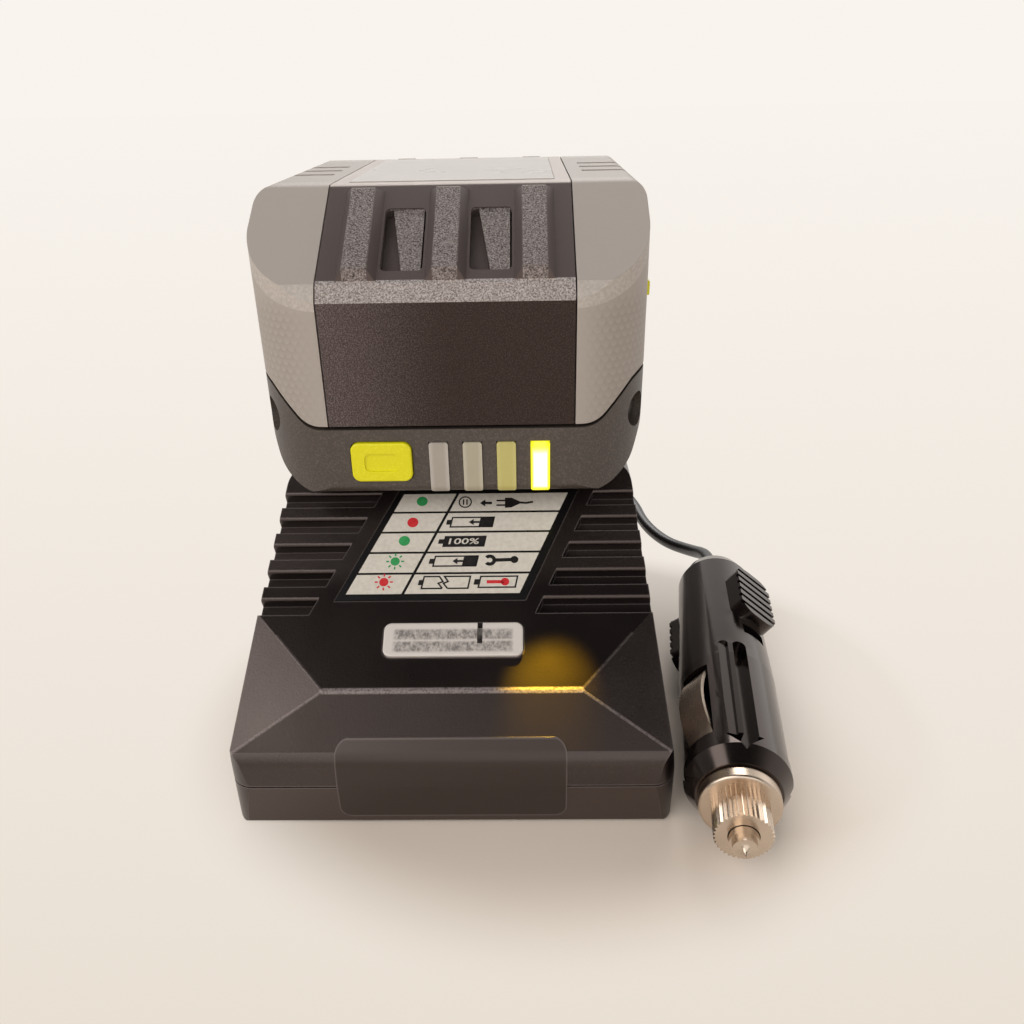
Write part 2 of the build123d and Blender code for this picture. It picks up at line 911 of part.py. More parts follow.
with BuildPart() as pack_cover:
    add(pack_outer)
    add(pack_form(cover_wall), mode=Mode.SUBTRACT)
    add(cover_bosses.part)
    add(under_pack_seam(-pack_seam_gap / 2), mode=Mode.INTERSECT)
    with BuildSketch(pack_plan.offset(cover_wall)):
        RectangleRounded(stem_width, stem_length, stem_corner)
    extrude(amount=-stem_drop - cover_wall)
    chamfer(pack_cover.faces().sort_by(Axis.Z)[0].edges(), stem_chamfer)
    with BuildSketch(pack_plan.offset(cover_wall)):
        RectangleRounded(
            stem_width - 2 * stem_wall, stem_length - 2 * stem_wall, stem_corner - stem_wall
        )
    extrude(amount=-stem_drop - cover_wall + stem_floor, mode=Mode.SUBTRACT)
    with BuildSketch(pack_plan.offset(-stem_drop)):
        with Locations(*[(x, blade_back) for x in blade_xs]):
            Rectangle(
                blade_thickness + 2 * blade_slot_play + 2 * clip_thickness,
                blade_length + 2 * blade_slot_play,
            )
    extrude(amount=stem_floor, mode=Mode.SUBTRACT)
    with BuildSketch(pack_plan.offset(cover_wall)):
        with GridLocations(2 * post_x, 2 * post_y, 2, 2):
            Circle(post_diameter / 2)
    extrude(amount=holder_low - cover_wall)
    with BuildSketch(pack_plan.offset(cover_wall)):
        with Locations((0, pack_board_y)):
            with GridLocations(pack_board_width - post_diameter, pack_board_length - post_diameter, 2, 2):
                Circle(post_diameter / 2)
    extrude(amount=pack_board_z - cover_wall)
    with BuildSketch(front_face):
        with Locations((button_x, button_z)):
            RectangleRounded(
                button_width + 2 * button_gap, button_height + 2 * button_gap, button_corner + button_gap
            )
        with Locations(*[(x, (gauge_low + gauge_high) / 2) for x in gauge_xs]):
            Rectangle(gauge_width + 2 * gauge_play, gauge_high - gauge_low + 2 * gauge_play)
    extrude(amount=-gauge_depth, mode=Mode.SUBTRACT)
    for x_sign, y_sign in screw_signs:
        with BuildSketch(corner_screw_plane(x_sign, y_sign, -cover_wall)):
            Circle(pack_screw_pocket / 2)
        extrude(amount=-cover_wall - pack_screw_depth, mode=Mode.SUBTRACT)
        with BuildSketch(corner_screw_plane(x_sign, y_sign, 0)):
            Circle(screw_diameter / 2 + screw_play)
        extrude(amount=-pack_screw_depth - 2 * pack_screw_floor, mode=Mode.SUBTRACT)
save(pack_cover, "pack_cover")

with BuildPart() as pack_screws:
    for x_sign, y_sign in screw_signs:
        with BuildSketch(corner_screw_plane(x_sign, y_sign, pack_screw_depth)):
            Circle(pack_screw_head / 2)
        extrude(amount=pack_screw_head_height)
        with BuildSketch(corner_screw_plane(x_sign, y_sign, pack_screw_depth)):
            Circle(screw_diameter / 2)
        extrude(amount=-pack_screw_floor)
save(pack_screws, "pack_screws")


# Pack shell: full form along the centre band, set back below the grips
def slope_plane(direction):
    """Plane of the front (-1) or rear (1) slope of the pack, from its lower edge upward."""
    run = slope_back - ledge_back
    rise = pack_height - ledge_high
    along = Vector(0, -direction * run, rise).normalized()
    across = Vector(-direction, 0, 0)
    origin = Vector(0, pack_y - direction * (pack_front_y + ledge_back), pack_z + ledge_high)
    return Plane(origin=origin, x_dir=across, z_dir=across.cross(along))


def side_box(low, high, length, inner, outer):
    """Block on both flanks of the pack, between two distances from its middle plane."""
    with BuildPart() as block:
        with BuildSketch(pack_plan.offset(low)):
            with Locations(((inner + outer) / 2, 0), (-(inner + outer) / 2, 0)):
                Rectangle(outer - inner, length)
        extrude(amount=high - low)
    return block.part


with BuildPart() as centre_band:
    add(pack_outer)
    with BuildSketch(pack_front.offset(-pack_length)):
        with Locations((0, pack_height / 2)):
            Rectangle(2 * band_half - band_seam, 2 * pack_height)
    extrude(amount=2 * pack_length, mode=Mode.INTERSECT)

with BuildPart() as pack_shell:
    add(pack_under_grip)
    add(centre_band.part)
    add(pack_inner, mode=Mode.SUBTRACT)
    add(under_pack_seam(pack_seam_gap / 2), mode=Mode.SUBTRACT)
    for direction in (-1, 1):
        for x in (-rib_pitch / 2, rib_pitch / 2):
            with BuildSketch(slope_plane(direction)):
                with Locations((x, pocket_start + pocket_length / 2)):
                    RectangleRounded(pocket_width, pocket_length, edge_round)
            extrude(amount=-pocket_depth, mode=Mode.SUBTRACT)
            with BuildSketch(slope_plane(direction).offset(-pocket_depth)):
                pad_left = x + pad_offset - pad_width / 2
                pad_right = x + pad_offset + pad_width / 2
                pad_low = pocket_start + fit_gap / 2
                pad_high = pocket_start + pocket_length - fit_gap / 2
                with BuildLine():
                    Polyline(
                        (pad_left + pad_lean, pad_low),
                        (pad_right, pad_low),
                        (pad_right, pad_high),
                        (pad_left, pad_high),
                        close=True,
                    )
                make_face()
            extrude(amount=pad_height)
        for x in (-rib_pitch, 0, rib_pitch):
            with BuildSketch(slope_plane(direction)):
                with Locations((x, rib_length / 2)):
                    Rectangle(rib_width, rib_length)
            extrude(amount=rib_height, taper=rib_draft)
    with BuildSketch(pack_plan.offset(pack_height)):
        Rectangle(plate_width + 2 * fit_gap, plate_length + 2 * fit_gap)
    extrude(amount=-plate_recess, mode=Mode.SUBTRACT)
    add(
        side_box(
            latch_low - latch_gap,
            latch_high + latch_gap,
            latch_length + 2 * latch_gap,
            latch_flange_outer - latch_flange,
            pack_width,
        ),
        mode=Mode.SUBTRACT,
    )
save(pack_shell, "pack_shell")

# Grips: grey skins over both flanks, open round the side panels
with BuildPart() as both_grips:
    add(pack_outer)
    add(pack_form(grip_thickness - grip_play), mode=Mode.SUBTRACT)
    add(under_pack_seam(pack_seam_gap / 2), mode=Mode.SUBTRACT)
    with BuildSketch(pack_front.offset(-pack_length)):
        with Locations((0, pack_height / 2)):
            Rectangle(2 * band_half + band_seam, 2 * pack_height)
    extrude(amount=2 * pack_length, mode=Mode.SUBTRACT)
    with BuildSketch(pack_plan.offset(pack_height)):
        for x in (-pack_width / 2, pack_width / 2):
            with Locations((x, 0)):
                with GridLocations(0, groove_pitch, 1, 3):
                    Rectangle(2 * (pack_width / 2 - groove_inner), groove_width)
    extrude(amount=-groove_depth, mode=Mode.SUBTRACT)
    add(
        side_box(
            panel_low - fit_gap,
            panel_high + fit_gap,
            panel_length + 2 * fit_gap,
            pack_width / 4,
            pack_width,
        ),
        mode=Mode.SUBTRACT,
    )

with BuildPart() as both_panels:
    add(side_box(panel_low, panel_high, panel_length, pack_width / 4, pack_width))
    add(pack_form(-panel_proud), mode=Mode.INTERSECT)
    add(pack_form(grip_thickness - grip_play), mode=Mode.SUBTRACT)
    add(
        side_box(
            latch_low - latch_gap,
            latch_high + latch_gap,
            latch_length + 2 * latch_gap,
            pack_width / 4,
            pack_width,
        ),
        mode=Mode.SUBTRACT,
    )
    add(
        side_box(
            accent_low - fit_gap,
            accent_high + fit_gap,
            panel_length + 2 * fit_gap,
            pack_width / 2 + panel_proud - accent_depth,
            pack_width,
        ),
        mode=Mode.SUBTRACT,
    )

with BuildPart() as both_accents:
    add(
        side_box(
            accent_low,
            accent_high,
            panel_length,
            pack_width / 2 + panel_proud - accent_depth,
            pack_width / 2 + panel_proud + accent_proud,
        )
    )
    fillet(both_accents.edges().filter_by(Axis.Y), accent_proud / 2)

with BuildPart() as both_latches:
    add(
        side_box(
            latch_low,
            latch_high,
            latch_length,
            latch_flange_outer - latch_flange,
            pack_width / 2 + latch_proud,
        )
    )
    fillet(both_latches.edges().filter_by(Axis.Z), edge_round)
    add(
        side_box(
            latch_low - latch_flange_rim,
            latch_high + latch_flange_rim,
            latch_length + 2 * latch_flange_rim,
            latch_flange_outer - latch_flange,
            latch_flange_outer,
        )
    )

for node, pair in (
    ("grip", both_grips),
    ("side_panel", both_panels),
    ("accent", both_accents),
    ("latch", both_latches),
):
    for side, keep in (("left", Keep.BOTTOM), ("right", Keep.TOP)):
        with BuildPart() as half:
            add(pair.part)
            split(bisect_by=Plane.YZ, keep=keep)
        save(half, f"{node}_{side}")

with BuildPart() as rating_plate:
    with BuildSketch(pack_plan.offset(pack_height - plate_recess)):
        Rectangle(plate_width, plate_length)
    extrude(amount=plate_thickness)
save(rating_plate, "rating_plate")

# Charge gauge
with BuildPart() as gauge_button:
    with BuildSketch(front_face.offset(button_proud)):
        with Locations((button_x, button_z)):
            RectangleRounded(button_width, button_height, button_corner)
    extrude(amount=-button_proud - cover_wall - button_gap)
    fillet(gauge_button.faces().sort_by(Axis.Y)[0].edges(), button_proud / 2)
    with BuildSketch(front_face.offset(button_proud)):
        with Locations((button_x, button_z)):
            RectangleRounded(button_dish_width, button_dish_height, edge_round)
    extrude(amount=-button_dish_depth, mode=Mode.SUBTRACT)
    with BuildSketch(front_face.offset(-cover_wall - button_gap)):
        with Locations((button_x, button_z)):
            Rectangle(button_width + 2 * button_rim, button_height + 2 * button_rim_low)
    extrude(amount=-button_flange)
save(gauge_button, "gauge_button")

for index, x in enumerate(gauge_xs):
    with BuildPart() as gauge_lens:
        with BuildSketch(front_face.offset(2 * gauge_proud)):
            with Locations((x, (gauge_low + gauge_high) / 2)):
                RectangleRounded(gauge_width, gauge_high - gauge_low, edge_round / 2)
        extrude(amount=-gauge_depth - 2 * gauge_proud + gauge_play)
        add(pack_form(-gauge_proud), mode=Mode.INTERSECT)
    save(gauge_lens, f"gauge_lens_{index + 1}")

board_face = front_face.offset(-gauge_board_back)
with BuildPart() as gauge_board:
    with BuildSketch(board_face):
        with Locations((0, cover_wall + gauge_board_height / 2)):
            Rectangle(gauge_board_width, gauge_board_height)
    extrude(amount=-gauge_board_thickness)
save(gauge_board, "gauge_board")

switch_reach = gauge_board_back - cover_wall - button_gap - button_flange - button_travel - fit_gap
with BuildPart() as gauge_switch:
    with BuildSketch(board_face):
        with Locations((button_x, button_z)):
            Rectangle(switch_size, switch_size)
    extrude(amount=switch_reach)
save(gauge_switch, "gauge_switch")

with BuildPart() as gauge_lamps:
    with BuildSketch(board_face):
        with Locations(*[(x, button_z) for x in gauge_xs]):
            Rectangle(gauge_led_size, gauge_led_size)
    extrude(amount=gauge_led_height)
save(gauge_lamps, "gauge_lamps")

# Cells, holders and straps
with BuildPart() as cells:
    with BuildSketch(pack_side):
        with Locations(*cell_points):
            Circle(cell_diameter / 2)
    extrude(amount=cell_length / 2, both=True)
save(cells, "cells")

holder_half = (cell_columns - 1) / 2 * cell_pitch + cell_diameter / 2 + holder_rim
holder_top_half = holder_half - holder_bevel
holder_shoulder = cell_rows[-1] + holder_shoulder_rise
holder_top = cell_rows[-1] + holder_top_rise
for node, side in (("cell_holder_left", -1), ("cell_holder_right", 1)):
    with BuildPart() as holder:
        with BuildSketch(pack_side.offset(side * cell_length / 2)):
            with BuildLine():
                Polyline(
                    (-holder_half, holder_low),
                    (holder_half, holder_low),
                    (holder_half, holder_shoulder),
                    (holder_top_half, holder_top),
                    (-holder_top_half, holder_top),
                    (-holder_half, holder_shoulder),
                    close=True,
                )
            make_face()
            with Locations(*cell_points):
                Circle(cell_diameter / 2 + cell_play, mode=Mode.SUBTRACT)
        extrude(amount=-side * holder_depth)
    save(holder, node)

for node, side in (("cell_straps_left", -1), ("cell_straps_right", 1)):
    with BuildPart() as straps:
        with BuildSketch(pack_side.offset(side * cell_length / 2)):
            with Locations((0, (cell_rows[0] + cell_rows[-1]) / 2)):
                with GridLocations(cell_pitch, 0, cell_columns, 1):
                    Rectangle(strap_width, cell_rows[-1] - cell_rows[0] + strap_width)
        extrude(amount=side * strap_thickness)
    save(straps, node)

with BuildPart() as pack_board:
    with BuildSketch(pack_plan.offset(pack_board_z)):
        with Locations((0, pack_board_y)):
            Rectangle(pack_board_width, pack_board_length)
    extrude(amount=board_thickness)
save(pack_board, "pack_board")

# Contacts in the stem
carrier_plane = pack_plan.offset(-stem_drop + stem_floor)
with BuildPart() as stem_carrier:
    with BuildSketch(carrier_plane):
        with Locations((0, blade_back)):
            Rectangle(stem_width - 2 * stem_wall - 2 * carrier_side_gap, carrier_length)
        with Locations(*[(x, blade_back) for x in blade_xs]):
            Rectangle(
                blade_thickness + 2 * blade_slot_play + 2 * clip_thickness,
                blade_length + 2 * blade_slot_play,
                mode=Mode.SUBTRACT,
            )
    extrude(amount=carrier_height)
save(stem_carrier, "stem_carrier")

with BuildPart() as stem_clips:
    clip_offset = blade_thickness / 2 + blade_slot_play + clip_thickness / 2
    with BuildSketch(carrier_plane):
        with Locations(*[(x + turn * clip_offset, blade_back) for x in blade_xs for turn in (-1, 1)]):
            Rectangle(clip_thickness, blade_length)
    extrude(amount=clip_height)
save(stem_clips, "stem_clips")


# Vehicle plug
def plug_plane(distance):
    """Plane across the plug at a distance from its tip, facing the tip."""
    return Plane(
        origin=plug_tip_point - plug_heading * distance, x_dir=plug_right, z_dir=plug_heading
    )


def plug_radial(angle):
    """Direction out from the plug's axis at an angle from its right side, counted upward."""
    return plug_right * cos(radians(angle)) + Vector(0, 0, sin(radians(angle)))


def plug_section(angle):
    """Plane along the plug's axis: local x runs from the tip to the rear, local y outward."""
    radial = plug_radial(angle)
    backward = plug_heading * -1
    return Plane(origin=plug_tip_point, x_dir=backward, z_dir=backward.cross(radial))


def plug_surface(angle, radius):
    """Plane facing outward at a radius: local x runs from the tip to the rear."""
    radial = plug_radial(angle)
    return Plane(
        origin=plug_tip_point + radial * radius, x_dir=plug_heading * -1, z_dir=radial
    )


plug_axis = Axis(plug_tip_point, plug_heading)
spring_rear = cap_front + cap_wall + pin_flange_thickness + fuse_length + spring_length
shell_rear = plug_length - boot_seat


def plug_half(turn, wing_angle, wing_width, wing_radius):
    """One half shell of the plug, with its finger wing, window and channels."""
    with BuildPart() as half:
        with BuildSketch(plug_section(split_angle)):
            with BuildLine():
                Polyline(
                    (crown_front, 0),
                    (crown_front, spigot_radius),
                    (body_front, spigot_radius),
                    (body_front, body_front_radius),
                    (contact_start + contact_length + window_length, body_radius),
                    (body_shoulder, body_radius - channel_rib),
                    (shell_rear - window_length, body_rear_radius + channel_side_width),
                    (shell_rear, body_rear_radius),
                    (shell_rear, 0),
                    close=True,
                )
            make_face()
        revolve(axis=plug_axis)
        with BuildSketch(plug_surface(wing_angle, 0)):
            with Locations((wing_start + wing_length / 2, 0)):
                RectangleRounded(wing_length, wing_width, wing_round)
        extrude(amount=wing_radius)
        with BuildSketch(plug_surface(wing_angle, wing_radius)):
            with Locations((wing_start + wing_length / 2, 0)):
                with GridLocations(wing_groove_pitch, 0, wing_groove_count, 1):
                    Rectangle(wing_groove_width, 2 * wing_width)
        extrude(amount=-wing_groove_depth, mode=Mode.SUBTRACT)
        with BuildSketch(plug_surface(wing_angle, body_radius - window_depth)):
            with Locations((wing_start - window_length, 0)):
                Rectangle(window_length, window_width)
        extrude(amount=body_radius, mode=Mode.SUBTRACT)
        with BuildSketch(plug_surface(channel_angle + turn, body_radius - channel_depth)):
            with Locations((channel_start + channel_length / 2, 0)):
                SlotOverall(channel_length, channel_width)
        extrude(amount=body_radius, mode=Mode.SUBTRACT)
        side_shift = (channel_width + channel_side_width) / 2 + channel_rib
        with BuildSketch(plug_surface(channel_angle + turn, body_radius - channel_side_depth)):
            with Locations((channel_start + channel_length / 2, side_shift)):
                SlotOverall(channel_length, channel_side_width)
        extrude(amount=body_radius, mode=Mode.SUBTRACT)
        for angle in (contact_angle, contact_angle + 180):
            with BuildSketch(plug_surface(angle, contact_slot_floor)):
                with Locations((contact_start + contact_length / 2, 0)):
                    Rectangle(
                        contact_length + 2 * contact_slot_play, contact_width + 2 * contact_slot_play
                    )
            extrude(amount=body_radius, mode=Mode.SUBTRACT)
        with BuildSketch(plug_plane(0)):
            Circle(bore_radius)
        extrude(amount=-spring_rear, mode=Mode.SUBTRACT)
        with BuildSketch(plug_plane(spring_rear)):
            Circle(cord_diameter / 2 + fit_gap)
        extrude(amount=-plug_length, mode=Mode.SUBTRACT)
        with BuildSketch(plug_plane(shell_rear)):
            Circle(boot_radius + fit_gap)
        extrude(amount=boot_length - boot_seat, mode=Mode.SUBTRACT)
        split(
            bisect_by=Plane(origin=plug_tip_point, z_dir=plug_radial(split_angle - 90 + turn)),
            keep=Keep.TOP,
        )
    return half


upper_half = plug_half(0, wing_upper_angle, wing_upper_width, wing_upper_radius)
lower_half = plug_half(180, wing_lower_angle, wing_lower_width, wing_lower_radius)
save(upper_half, "plug_shell_upper")
save(lower_half, "plug_shell_lower")

# Crown with notches in its rear rim
with BuildPart() as plug_crown:
    with BuildSketch(plug_section(split_angle)):
        with BuildLine():
            Polyline(
                (crown_front, spigot_radius + crown_play),
                (crown_front, crown_front_radius),
                (crown_wide, crown_radius),
                (body_front - crown_play, crown_radius),
                (body_front - crown_play, spigot_radius + crown_play),
                close=True,
            )
        make_face()
    revolve(axis=plug_axis)
    for quarter in range(4):
        with BuildSketch(plug_surface(notch_angle + 90 * quarter, 0)):
            with BuildLine():
                Polyline(
                    (body_front, -notch_width / 2),
                    (body_front - notch_depth, 0),
                    (body_front, notch_width / 2),
                    close=True,
                )
            make_face()
        extrude(amount=2 * crown_radius, mode=Mode.SUBTRACT)
save(plug_crown, "plug_crown")

with BuildPart() as plug_ring:
    with BuildSketch(plug_plane(crown_front)):
        Circle(ring_radius)
        Circle(bore_radius, mode=Mode.SUBTRACT)
    extrude(amount=crown_front - ring_front)
    fillet(plug_ring.edges().filter_by(GeomType.CIRCLE).group_by(SortBy.RADIUS)[-1], cap_tooth_depth * 2)
save(plug_ring, "plug_ring")

# Knurled fuse cap with the hole for the tip pin
with BuildPart() as plug_cap:
    with BuildSketch(plug_plane(ring_front)):
        Circle(cap_radius)
        with PolarLocations(cap_radius, cap_teeth):
            Rectangle(2 * cap_tooth_depth, 2 * cap_tooth_depth, rotation=45, mode=Mode.SUBTRACT)
    extrude(amount=ring_front - cap_front)
    with BuildSketch(plug_plane(ring_front)):
        Circle(bore_radius)
    extrude(amount=ring_front - cap_front - cap_wall, mode=Mode.SUBTRACT)
    with BuildSketch(plug_plane(ring_front)):
        Circle(pin_base_radius + pin_play)
    extrude(amount=ring_front - cap_front, mode=Mode.SUBTRACT)
save(plug_cap, "plug_cap")

# Tip pin and the fuse behind it
pin_flange_front = cap_front + cap_wall + pin_play
with BuildPart() as plug_pin:
    with BuildSketch(plug_section(split_angle)):
        with BuildLine():
            Line((0, 0), (pin_radius, 0))
            RadiusArc((0, 0), (pin_radius, pin_radius), -pin_radius)
            Polyline(
                (pin_radius, pin_radius),
                (pin_base_front, pin_radius),
                (pin_base_front, pin_base_radius),
                (pin_flange_front, pin_base_radius),
                (pin_flange_front, pin_flange_radius),
                (pin_flange_front + pin_flange_thickness, pin_flange_radius),
                (pin_flange_front + pin_flange_thickness, 0),
                (pin_radius, 0),
            )
        make_face()
    revolve(axis=plug_axis)
save(plug_pin, "plug_pin")

fuse_front = pin_flange_front + pin_flange_thickness
with BuildPart() as plug_fuse:
    with BuildSketch(plug_plane(fuse_front)):
        Circle(fuse_radius)
    extrude(amount=-fuse_length)
save(plug_fuse, "plug_fuse")

# Coil spring behind the fuse
spring_front = fuse_front + fuse_length + spring_wire
spring_height = spring_rear - spring_front - spring_wire
with BuildPart() as plug_spring:
    with BuildLine() as spring_path:
        Helix(
            pitch=spring_height / spring_turns,
            height=spring_height,
            radius=spring_radius,
            center=plug_plane(spring_rear - spring_wire).origin,
            direction=plug_heading,
        )
    with BuildSketch(Plane(spring_path.line @ 0, z_dir=spring_path.line % 0)):
        Circle(spring_wire / 2)
    sweep(path=spring_path.line, is_frenet=True)
save(plug_spring, "plug_spring")

# Bowed side contacts
for node, angle in (("contact_left", contact_angle), ("contact_right", contact_angle + 180)):
    with BuildPart() as contact:
        with BuildSketch(plug_section(angle)):
            with BuildLine() as bow:
                ThreePointArc(
                    (contact_start, contact_end_radius),
                    (contact_start + contact_length / 2, contact_peak_radius - contact_thickness),
                    (contact_start + contact_length, contact_end_radius),
                )
                ThreePointArc(
                    (contact_start, contact_end_radius + contact_thickness),
                    (contact_start + contact_length / 2, contact_peak_radius),
                    (contact_start + contact_length, contact_end_radius + contact_thickness),
                )
                Line(
                    (contact_start, contact_end_radius),
                    (contact_start, contact_end_radius + contact_thickness),
                )
                Line(
                    (contact_start + contact_length, contact_end_radius),
                    (contact_start + contact_length, contact_end_radius + contact_thickness),
                )
            make_face()
        extrude(amount=contact_width / 2, both=True)
    save(contact, node)

with BuildPart() as plug_boot:
    with BuildSketch(plug_plane(plug_length)):
        Circle(boot_radius)
        Circle(cord_diameter / 2 + fit_gap, mode=Mode.SUBTRACT)
    extrude(amount=boot_length)
save(plug_boot, "plug_boot")

# Strain relief in the rear wall
gland_plane = Plane(origin=(gland_x, charger_rear, gland_z), x_dir=(1, 0, 0), z_dir=(0, 1, 0))
with BuildPart() as strain_relief:
    with BuildSketch(gland_plane):
        Circle(gland_flange_diameter / 2)
    extrude(amount=gland_flange)
    with BuildSketch(gland_plane.offset(gland_flange)):
        Circle(gland_diameter / 2)
    with BuildSketch(gland_plane.offset(gland_length)):
        Circle(gland_tip_diameter / 2)
    loft()
    with BuildSketch(gland_plane):
        Circle(gland_diameter / 2)
    extrude(amount=-housing_wall - gland_flange)
    with BuildSketch(gland_plane.offset(-housing_wall - gland_flange)):
        Circle(cord_diameter / 2 + fit_gap)
    extrude(amount=gland_length + housing_wall + gland_flange, mode=Mode.SUBTRACT)
save(strain_relief, "strain_relief")


# Cord: lead to the coil, coil and run to the plug
def route_radii(points):
    """Radius of each bend of a route: as large as its two runs allow."""
    radii = []
    for before, corner, after in zip(points, points[1:], points[2:]):
        run_in = Vector(*corner) - Vector(*before)
        run_out = Vector(*after) - Vector(*corner)
        turn = radians(run_in.get_angle(run_out))
        radii.append(0.45 * min(run_in.length, run_out.length) / tan(turn / 2))
    return radii


def cord_tube(points, node):
    """Round tube along a route of straight runs and tangent arcs."""
    radii = route_radii(points)
    with BuildPart() as tube:
        with BuildLine():
            route = FilletPolyline(*points, radius=radii)
        with BuildSketch(Plane(route @ 0, z_dir=route % 0)):
            Circle(cord_diameter / 2)
        sweep(path=route)
    save(tube, node)


coil_span = 2 * coil_turns + 0.5
coil_low_z = tie_thickness + tie_play + cord_diameter / 2


def coil_place(turn):
    """Point of the coil's middle line after a number of turns from its outer end."""
    radius = coil_outer - coil_pitch * min(turn, coil_span - turn)
    climb = min(max((turn - coil_turns) / 0.5, 0), 1)
    height = coil_low_z + coil_layer * climb
    angle = radians(coil_start + 360 * turn)
    return Vector(
        coil_center[0] + radius * cos(angle), coil_center[1] + radius * sin(angle), height
    )


def coil_tangent(turn):
    """Direction of the coil's middle line, level at its two ends and at each climb's ends."""
    step = 0.01
    ahead = coil_place(min(turn + step, coil_span))
    behind = coil_place(max(turn - step, 0))
    direction = ahead - behind
    flat = turn <= coil_turns or turn >= coil_turns + 0.5
    return Vector(direction.X, direction.Y, 0 if flat else direction.Z).normalized()


def biarc_middle(start, start_tangent, end, end_tangent):
    """Joint of two arcs that leave start and reach end along the given tangents."""
    gap = end - start
    tangent_sum = start_tangent + end_tangent
    a = 2 * (1 - start_tangent.dot(end_tangent))
    b = 2 * gap.dot(tangent_sum)
    c = -gap.dot(gap)
    reach = (-b + (b * b - 4 * a * c) ** 0.5) / (2 * a)
    return (start + start_tangent * reach + end - end_tangent * reach) / 2


quarter_count = int(coil_span * 4)
coil_turn_list = [quarter / 4 for quarter in range(quarter_count + 1)]
coil_points = [coil_place(turn) for turn in coil_turn_list]
coil_tangents = [coil_tangent(turn) for turn in coil_turn_list]
coil_entry = coil_points[0] - coil_tangents[0] * cord_diameter
coil_exit = coil_points[-1] + coil_tangents[-1] * cord_diameter
with BuildPart() as cord_coil:
    with BuildLine() as coil_path:
        Line(coil_entry, coil_points[0])
        for start, start_tangent, end, end_tangent in zip(
            coil_points, coil_tangents, coil_points[1:], coil_tangents[1:]
        ):
            middle = biarc_middle(start, start_tangent, end, end_tangent)
            first_arc = TangentArc(start, middle, tangent=start_tangent)
            TangentArc(middle, end, tangent=first_arc % 1)
        Line(coil_points[-1], coil_exit)
    coil_wire = coil_path.wires()[0]
    with BuildSketch(Plane(coil_entry, z_dir=coil_tangents[0])):
        Circle(cord_diameter / 2)
    sweep(path=coil_wire)
save(cord_coil, "cord_coil")

# Tie round the coil's strands
tie_direction = Vector(cos(radians(tie_angle)), sin(radians(tie_angle)), 0)
tie_middle_radius = coil_outer - coil_pitch * coil_span / 4
tie_height = coil_low_z + coil_layer / 2
tie_plane = Plane(
    origin=Vector(coil_center[0], coil_center[1], tie_height) + tie_direction * tie_middle_radius,
    x_dir=tie_direction,
    z_dir=Vector(-tie_direction.Y, tie_direction.X, 0),
)
tie_inner_width = coil_pitch * coil_span / 2 + cord_diameter + 2 * tie_play
tie_inner_height = coil_layer + cord_diameter + 2 * tie_play
with BuildPart() as cord_tie:
    with BuildSketch(tie_plane):
        RectangleRounded(
            tie_inner_width + 2 * tie_thickness, tie_inner_height + 2 * tie_thickness, cord_diameter / 2
        )
        RectangleRounded(
            tie_inner_width, tie_inner_height, cord_diameter / 2 - tie_thickness, mode=Mode.SUBTRACT
        )
    extrude(amount=tie_width / 2, both=True)
save(cord_tie, "cord_tie")

gland_exit = Vector(gland_x, charger_rear + gland_length - cord_diameter, gland_z)
lead_points = [
    tuple(gland_exit),
    (26.0, 101.0, 17.0),
    (26.0, 112.0, 13.2),
    (25.8, 123.5, 7.6),
    (22.4, 133.0, 4.2),
    tuple(coil_entry - coil_tangents[0] * 7.5),
    tuple(coil_entry),
]
cord_tube(lead_points, "cord_lead")

cord_end = plug_tip_point - plug_heading * (plug_length - boot_length)
run_points = [
    tuple(coil_exit),
    tuple(coil_exit + coil_tangents[-1] * 10.0),
    (12.0, 88.5, 5.2),
    (31.0, 89.5, 3.4),
    (46.0, 82.0, 2.4),
    (52.5, 66.0, 2.0),
    (54.0, 49.0, 2.0),
    (59.0, 35.0, 2.6),
    (65.0, 24.0, 5.4),
    tuple(plug_rear_point - plug_heading * 9.0),
    tuple(cord_end),
]
cord_tube(run_points, "cord_run")
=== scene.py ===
"""Looks of a wedge-shaped vehicle battery charger that carries a tool battery.

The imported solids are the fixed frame. This script gives every solid the finish of its real
material, prints the pictogram label, winds the spring in the plug, lays the lead as one smooth
cord, and sets up the floor, the light and the camera of the photograph. Sizes are in millimetres
until they reach a mesh or a node.
"""

import logging
import math
from dataclasses import dataclass, field
from enum import Enum
from typing import Any, Mapping, Sequence

import bpy
import numpy as np
from mathutils import Matrix, Vector

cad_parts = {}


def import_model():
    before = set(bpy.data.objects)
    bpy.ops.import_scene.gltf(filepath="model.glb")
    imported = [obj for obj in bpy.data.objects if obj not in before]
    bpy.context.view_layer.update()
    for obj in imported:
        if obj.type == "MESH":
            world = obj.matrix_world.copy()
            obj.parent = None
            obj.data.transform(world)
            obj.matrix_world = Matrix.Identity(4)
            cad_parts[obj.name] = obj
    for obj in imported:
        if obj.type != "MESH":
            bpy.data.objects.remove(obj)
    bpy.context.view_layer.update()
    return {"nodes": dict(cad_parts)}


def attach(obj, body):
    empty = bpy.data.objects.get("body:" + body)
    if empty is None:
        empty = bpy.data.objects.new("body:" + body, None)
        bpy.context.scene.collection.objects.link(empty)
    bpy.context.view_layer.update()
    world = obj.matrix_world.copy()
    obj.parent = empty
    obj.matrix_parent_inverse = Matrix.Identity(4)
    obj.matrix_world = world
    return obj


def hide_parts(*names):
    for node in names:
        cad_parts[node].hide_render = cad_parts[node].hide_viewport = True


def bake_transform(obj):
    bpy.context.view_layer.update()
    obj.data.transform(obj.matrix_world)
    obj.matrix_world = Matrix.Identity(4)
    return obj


MM = 0.001
LOG = logging.getLogger("battery_charger")
Colour = tuple[float, float, float, float]
Span = tuple[float, float]
Point = tuple[float, float, float]
